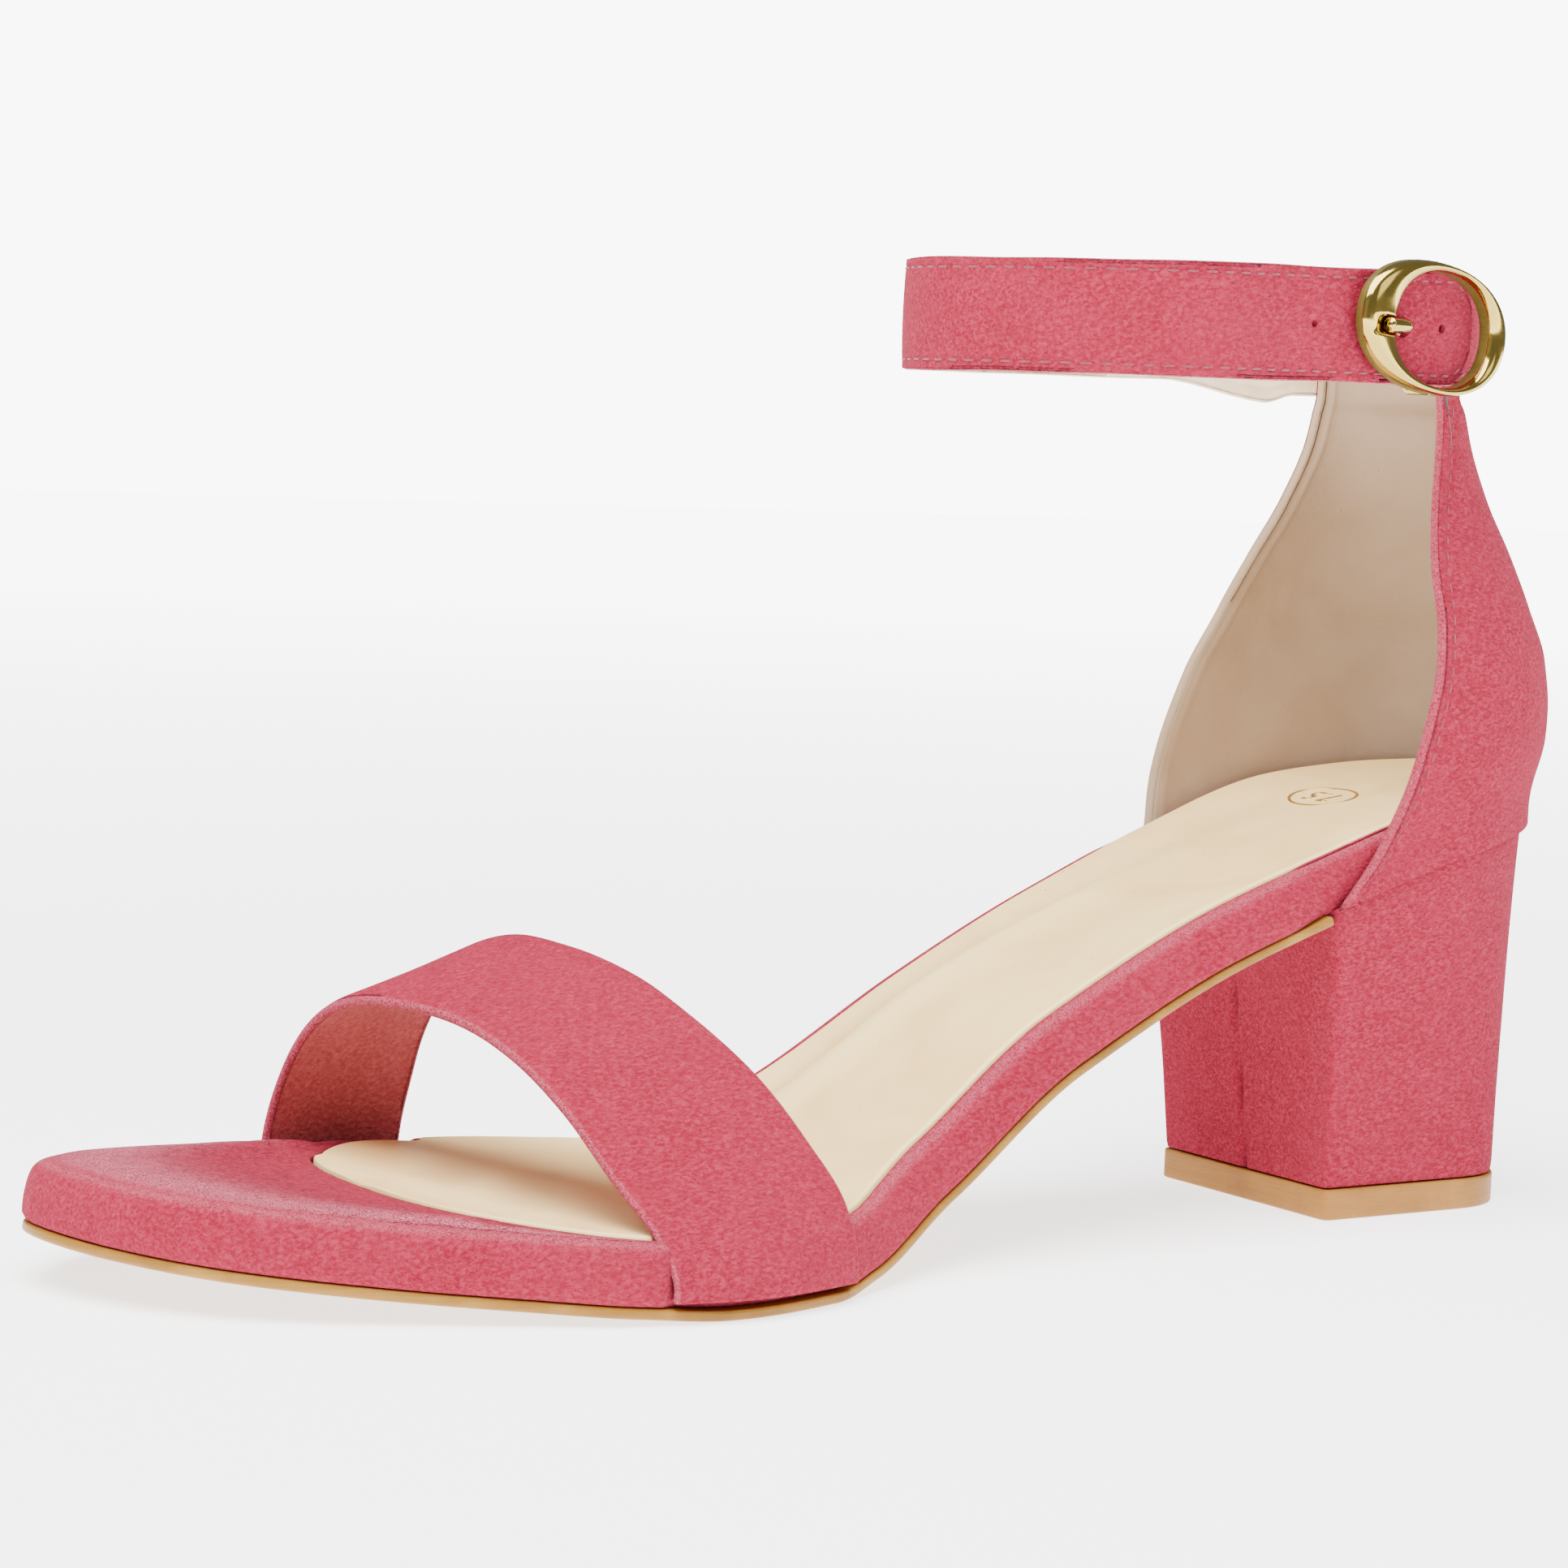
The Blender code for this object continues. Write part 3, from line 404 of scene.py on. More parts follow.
def suede(name, dark, middle, light, edge, sheen):
    look = Look(name, 0.92, Specular_IOR_Level=0.03, Sheen_Weight=sheen, Sheen_Roughness=0.45,
                Sheen_Tint=(1.0, 0.42, 0.50, 1))
    strokes = look.stretched((1.0, 0.55, 1.0), (0.5, 0.3, 0.6))
    fine = look.noise(2150, 3.0, 0.62, 0.5, strokes)
    hairs = look.noise(4200, 2.0, 0.6)
    brushed = look.noise(190, 3.0, 0.55, 1.2)
    broad = look.noise(38, 2.0, 0.5, 0.5)
    colour = look.ramp(fine, ((0.36, dark), (0.50, middle), (0.64, light)))
    colour = look.mix(look.spread(hairs, 0.55, 0.75, 0.0, 0.40), colour, light)
    colour = look.mix(look.spread(brushed, 0.35, 0.60, 0.24, 0.0), colour, dark)
    colour = look.mix(look.spread(broad, 0.42, 0.62, 0.0, 0.14), colour, light)
    # painted highlight and edge wear: marked points are speckled towards the lighter edge colour
    wear_and_highlight_specks = look.spread(hairs, 0.42, 0.62, 0.05, 1.0)
    colour = look.mix(look.math("MULTIPLY", look.attribute("worn"), wear_and_highlight_specks), colour, edge)
    colour = look.mix(look.attribute("shade"), colour, dimmed(dark, 0.35))
    coarse = look.noise(820, 2.0, 0.6, 0.3, strokes)
    crumpled = look.math("MULTIPLY", look.noise(330, 3.0, 0.6, 1.6), look.attribute("crease"))
    normal = look.bump(crumpled, 0.0020)
    normal = look.bump(coarse, 0.00026, normal)
    normal = look.bump(fine, 0.00030, normal)
    normal = look.bump(hairs, 0.00010, normal)
    return look.finish(colour, normal, look.spread(brushed, 0.3, 0.7, 0.86, 0.98))


def leather(name, dark, middle, light, roughness, pores, coat=0.0):
    look = Look(name, roughness, Specular_IOR_Level=0.35, Coat_Weight=coat, Coat_Roughness=0.35)
    cloud = look.noise(55, 3.0, 0.55, 0.6)
    grain = look.noise(2200, 3.0, 0.6)
    pore = look.spread(look.cells(430), 0.035, 0.085, 1.0, 0.0)
    specks = look.spread(look.noise(700, 1.0, 0.5), 0.50, 0.60, 0.0, 1.0)
    pore = look.math("MULTIPLY", pore, specks)
    colour = look.ramp(cloud, ((0.32, dark), (0.5, middle), (0.68, light)))
    colour = look.mix(look.spread(grain, 0.35, 0.65, 0.10, 0.0), colour, dark)
    colour = look.mix(look.math("MULTIPLY", pore, pores), colour, dimmed(dark, 0.45))
    # painted highlight and edge wear: marked points go towards a brighter copy of the light colour
    bright = tuple(min(1.0, value) for value in dimmed(light, 1.12))
    colour = look.mix(look.attribute("worn"), colour, bright)
    colour = look.mix(look.attribute("shade"), colour, dimmed(dark, 0.45))
    normal = look.bump(look.noise(420, 4.0, 0.6, 0.8), 0.00010)
    normal = look.bump(grain, 0.00006, normal)
    normal = look.bump(look.math("SUBTRACT", 1.0, pore), 0.00006, normal)
    rough = look.spread(cloud, 0.3, 0.7, roughness - 0.05, roughness + 0.08)
    return look.finish(colour, normal, rough)


def rubber(name, dark, middle, light, roughness):
    look = Look(name, roughness, Specular_IOR_Level=0.25)
    cloud = look.noise(70, 3.0, 0.6, 0.8)
    layers = look.noise(1.0, 2.0, 0.5, 0.0, look.stretched((120, 120, 2600)))
    grit = look.noise(2600, 2.0, 0.6)
    colour = look.ramp(cloud, ((0.30, dark), (0.5, middle), (0.70, light)))
    colour = look.mix(look.spread(layers, 0.45, 0.70, 0.0, 0.35), colour, dark)
    colour = look.mix(look.spread(grit, 0.60, 0.75, 0.0, 0.35), colour, dark)
    colour = look.mix(look.attribute("worn"), colour, light)
    normal = look.bump(layers, 0.00006)
    normal = look.bump(grit, 0.00005, normal)
    rough = look.spread(cloud, 0.3, 0.7, roughness - 0.08, roughness + 0.10)
    return look.finish(colour, normal, rough)


def polished(name, colour, roughness):
    look = Look(name, roughness, 1.0)
    wear = look.noise(220, 3.0, 0.6, 0.5)
    brushed = look.stretched((420, 5200, 5200), (0.2, 0.5, 0.9))
    scratches = look.noise(1.0, 2.0, 0.6, 0.0, brushed)
    tint = look.mix(look.spread(wear, 0.4, 0.7, 0.0, 0.25), colour, dimmed(colour, 0.86))
    rough = look.spread(wear, 0.35, 0.75, roughness - 0.03, roughness + 0.08)
    return look.finish(tint, look.bump(scratches, 0.000004), rough)


def thread_look(name, dark, light):
    look = Look(name, 0.7, Sheen_Weight=0.3)
    twist = look.noise(2600, 2.0, 0.6, 1.5)
    colour = look.ramp(twist, ((0.35, dark), (0.65, light)))
    return look.finish(colour, look.bump(twist, 0.00015))


# lighter colour for edge wear, also used for painted highlights
EDGE = (0.62, 0.210, 0.270)
CORAL = suede("suede_outer", (0.210, 0.0090, 0.024), (0.275, 0.0168, 0.0390),
              (0.345, 0.033, 0.064), EDGE, 0.08)
CORAL_BACK = suede("suede_inner", (0.320, 0.060, 0.078), (0.400, 0.086, 0.108),
                   (0.480, 0.120, 0.145), EDGE, 0.05)
CREAM = leather("sock_leather", (0.83, 0.555, 0.215), (0.89, 0.610, 0.250), (0.93, 0.66, 0.29),
                0.46, 1.0, 0.08)
TAUPE = leather("lining_leather", (0.300, 0.200, 0.118), (0.325, 0.220, 0.134),
                (0.350, 0.242, 0.152), 0.55, 0.30)
PALE = leather("strap_lining", (0.60, 0.43, 0.25), (0.76, 0.59, 0.38), (0.88, 0.74, 0.55),
               0.60, 0.3)
TAN = rubber("sole_rubber", (0.20, 0.088, 0.008), (0.28, 0.130, 0.013), (0.36, 0.185, 0.028), 0.42)
TIP_TAN = rubber("tip_rubber", (0.28, 0.120, 0.020), (0.34, 0.155, 0.028),
                 (0.40, 0.195, 0.044), 0.50)
GOLD = polished("polished_gold", (0.46, 0.33, 0.075), 0.10)
# the ring's side walls are dark and matt: a painted dark reflection in place of what polished gold
# reflects there
GOLD_INSIDE = rubber("gold_inner_wall", (0.075, 0.052, 0.010), (0.100, 0.072, 0.014),
                     (0.135, 0.100, 0.022), 0.35)
THREAD = thread_look("thread_coral", (0.13, 0.006, 0.014), (0.25, 0.022, 0.042))
THREAD_DARK = thread_look("thread_shade", (0.12, 0.007, 0.014), (0.26, 0.024, 0.042))
FOIL = polished("gold_foil", (0.80, 0.52, 0.12), 0.30)
SHADOW = thread_look("shadow_in_fold", (0.030, 0.004, 0.008), (0.070, 0.008, 0.016))


# ---------------------------------------------------------------- mesh helpers

def placed(name, data):
    thing = bpy.data.objects.new(name, data)
    bpy.context.scene.collection.objects.link(thing)
    return thing


def put(name, verts, faces, looks, slot, node=None, which=None, sharp=None, **marks):
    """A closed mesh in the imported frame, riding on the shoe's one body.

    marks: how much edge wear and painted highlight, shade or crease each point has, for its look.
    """
    mesh = bpy.data.meshes.new(name)
    places = (np.asarray(verts, float) + SHIFT).tolist()
    mesh.from_pydata(places, [], [list(face) for face in faces])
    for look in looks:
        mesh.materials.append(look)
    if which is not None:
        mesh.polygons.foreach_set("material_index", np.asarray(which, np.int32))
    for title in ("worn", "shade", "crease"):
        layer = mesh.attributes.new(title, "FLOAT", "POINT")
        if title in marks:
            layer.data.foreach_set("value", np.asarray(marks[title], np.float32))
    shape = bmesh.new()
    shape.from_mesh(mesh)
    bmesh.ops.remove_doubles(shape, verts=shape.verts, dist=2e-6)
    bmesh.ops.recalc_face_normals(shape, faces=shape.faces)
    shape.to_mesh(mesh)
    shape.free()
    mesh.shade_smooth()
    if sharp:
        mesh.set_sharp_from_angle(angle=math.radians(sharp))
    piece = placed(name, mesh)
    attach(piece, "root")
    if node:
        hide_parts(node)
    return piece


def ring_faces(rows, count, closed=True, looped=False):
    """Faces between rings of points. looped: the last ring is joined to the first one too."""
    faces = []
    for row in range(rows if looped else rows - 1):
        low, high = row * count, (row + 1) % rows * count
        for i in range(count if closed else count - 1):
            j = (i + 1) % count
            faces.append((low + i, low + j, high + j, high + i))
    return faces


def moved(faces, start):
    return [tuple(start + i for i in face) for face in faces]


def end_caps(rows, count):
    return [tuple(range(count)), tuple(range((rows - 1) * count, rows * count))]


def strip_cap(row, count):
    first, last = row * count, (row + 1) * count - 1
    return [(first + i, first + i + 1, last - 1 - i, last - i) for i in range(count // 2 - 1)]


def surface_normals(grid):
    """Outward normals of a grid of points, rows by columns."""
    across = np.gradient(grid, axis=0)
    along = np.gradient(grid, axis=1)
    normal = np.cross(across, along)
    return normal / np.maximum(np.linalg.norm(normal, axis=2), 1e-12)[:, :, None]


def sheet_wall(grid, normal, thickness, arc=6):
    """Closed wall under a grid: rows run from edge to edge, and both edges are rounded.

    Gives the points as rings, one for each column, and for each point of a ring its side: 0 outer
    face, 1 and 2 the last edge's outer and inner half, 3 inner face, 4 and 5 the first edge's.
    """
    radius = thickness / 2
    rows = grid.shape[0]
    first = unit(grid[0] - grid[1])
    last = unit(grid[-1] - grid[-2])
    outer = grid.copy()
    outer[0] -= first * radius
    outer[-1] -= last * radius
    inner = outer - normal * thickness

    def rounded(end, away, angle):
        out = away * radius * math.sin(angle)
        return outer[end] + out - normal[end] * radius * (1 - math.cos(angle))

    angles = np.linspace(0, math.pi, arc + 2)[1:-1]
    ring = [*outer, *(rounded(-1, last, angle) for angle in angles)]
    ring += [*inner[::-1], *(rounded(0, first, angle) for angle in angles[::-1])]
    sides = [0] * rows + [1 if angle < math.pi / 2 else 2 for angle in angles]
    sides += [3] * rows + [4 if angle < math.pi / 2 else 5 for angle in angles[::-1]]
    return np.array(ring).transpose(1, 0, 2), np.array(sides)


def put_wall(name, rings, sides, looks, node, wear):
    """The wall's mesh with flat ends. looks: one for each kind of side that sheet_wall gives."""
    count = rings.shape[1]
    rows = int(np.sum(sides == 0))
    arc = (count - 2 * rows) // 2
    faces = ring_faces(len(rings), count)
    own = list(dict.fromkeys(looks))
    which = [own.index(looks[side]) for side in sides] * (len(rings) - 1)
    for start in (0, (len(rings) - 1) * count):
        low = [start + i for i in range(rows)]
        high = [start + rows + arc + rows - 1 - i for i in range(rows)]
        turn = [start + rows + i for i in range(arc)]
        faces += [(low[i], low[i + 1], high[i + 1], high[i]) for i in range(rows - 1)]
        faces.append([low[-1], *turn, high[-1]])
        faces.append([high[0], *(i + arc + rows for i in turn), low[0]])
        which += [0] * (rows + 1)
    # its rounded edges are painted lighter: partly edge wear, partly painted highlight
    worn = np.tile(np.isin(sides, (1, 2, 4, 5)) * wear, len(rings))
    return put(name, rings.reshape(-1, 3), faces, own, "suede_coral", node, which, worn=worn)


# ---------------------------------------------------------------- sole, footbed and sock

ALONG = end_stations(280)
BASE = OUTSOLE + GAP
TOP = BASE + FOOTBED


def make_footbed():
    side = ring_of(ALONG, half_width(ALONG))
    normal = outward(side)
    band, counter = recess(side)
    count = len(side)
    rings, marks = [], {"worn": [], "shade": [], "crease": []}

    def add(points, **values):
        rings.append(points)
        for title, kept in marks.items():
            kept.append(np.broadcast_to(values.get(title, 0.0), count))

    levels = 1 - (1 - np.linspace(0, 1, 20)) ** 1.6
    for level in levels:
        inset = smooth(FOOTBED_EDGE["height"], FOOTBED_EDGE["inset"], level)
        pressed = smooth(FOOTBED_EDGE["height"], FOOTBED_EDGE["pressed"], level)
        ring = side - normal * (inset * EDGE_ROUND + pressed * band + counter)[:, None]
        points = lift(ring, BASE + level * FOOTBED - WRAP_LOW * (1 - level) ** 3)
        puff = lumps(points, 0.016, 5) * 0.10 * MM + lumps(points, 0.005, 7) * 0.05 * MM
        points[:, :2] += normal * (puff * math.sin(math.pi * level))[:, None]
        # painted highlight along the top of the footbed's rounded side
        add(points, worn=0.35 * float(bell((level - 0.95) / 0.07)))
    edge = side - normal * (EDGE_ROUND + band + counter)[:, None]
    bed = sock_plan(ALONG, 0.0)
    width = np.linalg.norm(bed - edge, axis=1)
    travel = np.cumsum(np.linalg.norm(np.diff(side, axis=0, prepend=side[:1]), axis=1))
    ahead = ease((-bed[:, 1] - 0.70 * LENGTH) / 0.02)
    for share in np.linspace(0, 1, 15)[1:]:
        ring = edge + (bed - edge) * share
        dome = np.minimum(width * 0.05, 0.9 * MM) * (share < 0.999)
        dome = dome * math.sin(math.pi * min(1.0, share * 1.15)) ** 0.8
        flat = np.column_stack([ring, np.zeros(count)])
        near = bell((1 - share) * width / 0.010)
        folds = np.column_stack([travel / 0.0026, np.full(count, share * 1.6), np.zeros(count)])
        pucker = lumps(folds, 1.0, 11)
        wave = lumps(flat, 0.020, 13) * 0.18 * MM + lumps(flat, 0.0065, 17) * 0.09 * MM
        fade = math.sin(math.pi * share) * np.minimum(width / 0.012, 1.0)
        height = dome + (pucker * 0.42 * MM * near * ahead + wave) * fade
        points = lift(ring, TOP)
        points[:, 2] += height
        # painted highlight on the toe's top, near the footbed's edge
        add(points, worn=0.75 * ahead * float(bell((share - 0.18) / 0.24)),
            crease=ahead * math.sin(math.pi * min(share, 0.999)) ** 0.5)
    for inset, drop, shade in ((0.12, 0.12, 0.5), (0.20, 0.45, 0.9), (0.20, SOCK / MM + 2.6, 0.9)):
        add(lift(sock_plan(ALONG, inset * MM), TOP - drop * MM), shade=shade)
    marks = {title: np.concatenate(kept) for title, kept in marks.items()}
    faces = ring_faces(len(rings), count) + strip_cap(0, count) + strip_cap(len(rings) - 1, count)
    put("footbed_wrap", np.vstack(rings), faces, [CORAL], "suede_coral", "footbed", **marks)


def sock_relief(x, y):
    """Soft shape of the sock: a dished seat, the long ridge beside the arch and light creases."""
    reach = ease((-y - 0.030) / 0.045) * ease((0.158 + y) / 0.040)
    line = -0.0058 + 0.0030 * np.sin((y + 0.10) / 0.045)
    ridge = 1.30 * bell((x - line) / 0.0045) - 2.00 * bell((x - line + 0.0085) / 0.0050)
    seat = -0.75 * bell((y + 0.026) / 0.020) * bell(x / 0.017)
    ball = -0.35 * bell((y + 0.160) / 0.022) * bell((x - 0.004) / 0.024)
    points = np.stack([x, y * 0.6, np.zeros_like(x)], axis=-1)
    waves = 0.16 * lumps(points, 0.017, 23) + 0.05 * lumps(points, 0.006, 29)
    front = bell((y + 0.178) / 0.012) * 0.28 * np.sin((x * 0.7 + y) / 0.0024)
    front = front * bell((x + 0.004) / 0.020)
    return (ridge * reach + seat + ball + waves + front) * MM


def make_sock():
    plan = sock_plan(ALONG, GAP + 0.30 * MM)
    half = len(ALONG)
    lateral, medial = plan[:half], plan[half:][::-1]
    base = TOP - SOCK + GAP
    across = np.concatenate([[0, .004, .012, .028], np.linspace(.05, .95, 42),
                             [.972, .988, .996, 1]])
    rows = []
    for share in across:
        ring = lateral + (medial - lateral) * share
        rim = np.minimum(share, 1 - share) * np.linalg.norm(medial - lateral, axis=1)
        rounded = np.sqrt(np.clip(1 - (1 - np.clip(rim / (0.35 * MM), 0, 1)) ** 2, 0, 1))
        inside = ease(rim / 0.006)
        height = base + SOCK - 0.35 * MM * (1 - rounded)
        height = height + 0.10 * MM * bell((rim - 0.7 * MM) / (0.6 * MM))
        rows.append(lift(ring, height + sock_relief(ring[:, 0], ring[:, 1]) * inside))
    top = np.array(rows)
    count, width = len(across), half
    under = np.array([lift(side, base - 2.2 * MM) for side in (lateral, medial)])
    verts = np.vstack([top.reshape(-1, 3), under.reshape(-1, 3)])
    faces = ring_faces(count, width, closed=False)
    start = count * width
    for i in range(width - 1):
        faces.append((i, i + 1, start + i + 1, start + i))
        low, last = start + width + i, (count - 1) * width + i
        faces.append((last, last + 1, low + 1, low))
        faces.append((start + i, start + i + 1, start + width + i + 1, start + width + i))
    rim = np.minimum(across, 1 - across)[:, None] * np.linalg.norm(medial - lateral, axis=1)
    # lighter along the sock's rim
    worn = np.concatenate([(bell(rim / (0.5 * MM)) * 0.9).reshape(-1), np.zeros(2 * width)])
    x, y = top[:, :, 0], top[:, :, 1]
    stretch = ease((-y - 0.045) / 0.045) * ease((0.158 + y) / 0.040)
    hollow = 0.10 * bell((x + 0.0120) / 0.0040) * stretch
    # painted highlight along the crest of the ridge beside the arch
    worn[:count * width] += (0.8 * bell((x + 0.0055) / 0.0030) * stretch).reshape(-1)
    seat = 0.13 * ease((y + 0.085) / 0.045)
    shade = np.concatenate([(hollow * 2.6 + seat).reshape(-1), np.zeros(2 * width)])
    put("insole_sock_skin", verts, faces, [CREAM], "sock_cream", "insole_sock", worn=worn,
        shade=shade)


def make_outsole():
    start = (BREAST_TOP + GAP) / LENGTH
    crowded = np.sin(np.linspace(0.0, math.pi / 2, 240))
    along = start + (1 - start) * (0.7 * crowded + 0.3 * np.linspace(0, 1, 240))
    side = ring_of(along, half_width(along))
    normal = outward(side)
    normal[0], normal[-1] = (1, 0), (-1, 0)
    reach = half_width(-side[:, 1] / LENGTH)
    rings = []
    for inset, height in ((9, 0.0), (3, 0.0), (1.05, 0.02), (0.62, 0.10), (0.34, 0.24),
                          (0.12, 0.46), (0.02, 0.74), (0.0, 1.1), (0.0, 1.6), (0.04, 1.95),
                          (0.14, 2.12), (0.34, 2.2)):
        most = reach * 0.9 + OUTSOLE_MARGIN + min(inset, 1.0) * MM
        limit = np.minimum(OUTSOLE_MARGIN + inset * MM, most)
        rings.append(lift(side - normal * limit[:, None], OUTSOLE_SHOWN * height * MM))
    count = len(side)
    faces = ring_faces(len(rings), count) + strip_cap(0, count) + strip_cap(len(rings) - 1, count)
    put("outsole_sheet", np.vstack(rings), faces, [TAN], "rubber_tan", "outsole", sharp=60)


# ---------------------------------------------------------------- heel and its tip

def tip_plan(share, lip):
    depth = TIP_FRONT - TIP_BACK
    into = np.clip(1 - share * depth / TIP_ROUND, 0, 1)
    half = (TIP_WIDTH / 2 + lip) * (1 - into ** TIP_SQUARE) ** (1 / TIP_SQUARE)
    return half, -(TIP_BACK - lip) - share * (depth + 2 * lip)


def block_ring(half, y, centre, z, seam=None):
    """One level of the block: lateral side from the rear, breast across, medial side back."""
    into = np.clip(1 - (y - y[-1]) / BLOCK_CORNER, 0, 1)
    trimmed = half - BLOCK_CORNER * (1 - np.sqrt(1 - into ** 2))
    lateral = np.column_stack([centre + trimmed, y, z])
    medial = np.column_stack([centre - trimmed, y, z])
    share = np.linspace(0, 1, 42)[1:-1]
    breast = lateral[-1] + (medial[-1] - lateral[-1]) * share[:, None]
    if seam is not None:
        dent = bell((breast[:, 0] - seam) / (0.45 * MM)) * 0.45 * MM
        swell = bell((np.abs(breast[:, 0] - seam) - 1.3 * MM) / (0.9 * MM)) * 0.12 * MM
        breast[:, 1] += dent - swell
    return np.vstack([lateral, breast, medial[::-1]])


def block_shares(count):
    rear = 1 - np.cos(np.linspace(0.0, math.pi / 2, count))
    front = 1 - (1 - np.cos(np.linspace(0, math.pi / 2, 14))) * 0.07
    return np.unique(np.concatenate([rear, front]))


def put_block(name, rings, look, slot, node, **extra):
    count = len(rings[0])
    faces = ring_faces(len(rings), count) + end_caps(len(rings), count)
    return put(name, np.vstack(rings), faces, [look], slot, node, sharp=70, **extra)


def make_heel():
    share = block_shares(54)
    tip_half, tip_y = tip_plan(share, 0.0)
    seat_y = HEEL_LIP - share * (BREAST_TOP + HEEL_LIP)
    seat_half = (half_width(np.clip(-seat_y / LENGTH, 0, 1)) + HEEL_LIP) * (share > 0)
    seat_centre = centre_line(np.clip(-seat_y / LENGTH, 0, 1))
    top = underside(seat_y)[0] + OUTSOLE
    rings, shade = [], []
    for level in np.linspace(0.0, 1.0, 72):
        spread = smooth(HEEL["level"], HEEL["spread"], level)
        y = tip_y + (seat_y - tip_y) * spread
        half = tip_half + (seat_half - tip_half) * spread
        z = (TIP + GAP) * (1 - level) + top * level
        seam = 0.0004 - 0.0026 * level
        tuck = 0.25 * MM * (bell(level / 0.012) + bell((1 - level) / 0.010))
        ring = block_ring(np.maximum(half - tuck, 0), y, seat_centre * spread, z, seam)
        ring[:, :2] += (lumps(ring, 0.018, 31) * 0.09 * MM)[:, None] * np.array([1.0, 0.5])
        rings.append(ring)
        on_breast = ring[:, 1] < y[-1] + 1.0 * MM
        line = bell((ring[:, 0] - seam) / (0.28 * MM)) * on_breast * ease((0.78 - level) / 0.2)
        shade.append(line * 0.55)
    put_block("heel_cover", rings, CORAL, "suede_coral", "heel", shade=np.concatenate(shade))


def make_heel_tip():
    share = block_shares(54)
    rings = []
    for z, inset in ((0, .55), (.04, .28), (.16, .10), (.36, 0), (1.5, 0), (3.2, 0), (4.3, 0),
                     (4.52, .06), (4.6, .22)):
        half, y = tip_plan(share, TIP_LIP)
        half = np.maximum(half - inset * MM, 0)
        y = y[0] - inset * MM + (y - y[0]) * (1 - 2 * inset * MM / (y[0] - y[-1]))
        rings.append(block_ring(half, y, 0 * y, np.full_like(y, z * MM)))
    put_block("heel_tip_rubber", rings, TIP_TAN, "rubber_tan", "heel_tip")


# ---------------------------------------------------------------- toe band and counter

def band_edge(which, rows, count):
    column = 0 if which == "front" else 1
    feet = {side: BAND_FEET[side][column] * LENGTH for side in BAND_FEET}
    points = []
    for side, sign in (("lateral", 1), ("medial", -1)):
        along = feet[side] / LENGTH
        x = centre_line(along) + sign * (half_width(along) + BAND_PROUD)
        low = underside(-feet[side])[0] + OUTSOLE + GAP
        foot = [(x, low), (x, low + BAND_FOOT_RISE)]
        points.append(foot if sign > 0 else foot[::-1])
    middle = [(across * BALL_WIDTH / 2, rise * BAND_RISE)
              for across, rise in zip(rows["across"], rows["rise"])]
    curve = through(points[0] + middle + points[1], count)
    # the inner shoulder is fuller than in the drawing
    shoulder = bell((curve[:, 0] - BAND_SHOULDER) / SHOULDER_REACH)
    curve += np.column_stack([-SHOULDER_IN * shoulder, SHOULDER_UP * shoulder])
    outer, inner = points[0][0][0], points[1][-1][0]
    share = (outer - curve[:, 0]) / (outer - inner)
    y = -feet["lateral"] - (feet["medial"] - feet["lateral"]) * share
    return np.column_stack([curve[:, 0], y, curve[:, 1]])


def make_toe_band():
    front = band_edge("front", BAND_FRONT, 190)
    rear = band_edge("rear", BAND_REAR, 190)
    grid = []
    for share in np.linspace(0.0, 1.0, 40):
        row = rear + (front - rear) * share
        for foot, sign in ((row[0].copy(), 1), (row[-1].copy(), -1)):
            along = -foot[1] / LENGTH
            outline = centre_line(along) + sign * (half_width(along) + BAND_PROUD)
            fade = ease(1 - (row[:, 2] - foot[2]) / BAND_FADE) * (row[:, 0] * sign > 0)
            row[:, 0] += (outline - foot[0]) * fade
        grid.append(row)
    grid = np.array(grid)
    normal = surface_normals(grid)
    if normal[20, 95, 2] < 0:
        normal = -normal
    share = np.linspace(0, 1, 40)[:, None]
    high = ease((grid[:, :, 2] - 0.012) / 0.01)
    relief = lumps(grid, 0.022, 41) * 0.16 * MM + lumps(grid, 0.007, 43) * 0.05 * MM
    roll = -0.35 * MM * (bell(share / 0.05) + bell((1 - share) / 0.05))
    grid = grid + normal * ((relief + roll) * high)[:, :, None]
    rings, sides = sheet_wall(grid, normal, BAND_WALL)
    looks = [CORAL, CORAL, CORAL, CORAL_BACK, CORAL, CORAL]
    put_wall("toe_band_suede", rings, sides, looks, "toe_band", 0.35)


def counter_section(level, share):
    value = {name: smooth(COUNTER["level"], COUNTER[name], level) for name in COUNTER}
    half = value["half"] * COUNTER_HALF
    back = -value["back"] * COUNTER_DEPTH
    proud = GAP + COUNTER_WALL - COUNTER_RECESS
    follow = 1 - ease(level / COUNTER_FOLLOW)
    sides = []
    for side, sign in (("lateral", 1), ("medial", -1)):
        front = -value[side] * COUNTER_DEPTH
        y = back + (front - back) * share
        x = half * (1 - (1 - share) ** value["square"]) ** (1 / value["square"])
        along = (back - y) / LENGTH
        seat = np.where(share > 0, half_width(along) + proud, 0.0) + sign * centre_line(along)
        x = x + (seat - x) * follow
        low = underside(y)[0] + OUTSOLE + GAP
        z = low + (STRAP_LEVEL + COUNTER_TAB - low) * level
        sides.append(np.column_stack([sign * x, y, z]))
    return np.vstack([sides[0][::-1], sides[1][1:]])


def rows_by_length(points, count):
    """The points of a path again, evenly spaced along it."""
    travel = travelled(points)
    return read_at(np.linspace(0, travel[-1], count), travel, points)


def counter_grid(columns=150):
    share = 1 - np.cos(np.linspace(0.0, math.pi / 2, 90))
    levels = np.concatenate([np.linspace(0, .2, 26), np.linspace(.2, 1, 84)[1:]])
    return np.array([rows_by_length(counter_section(level, share), columns) for level in levels])


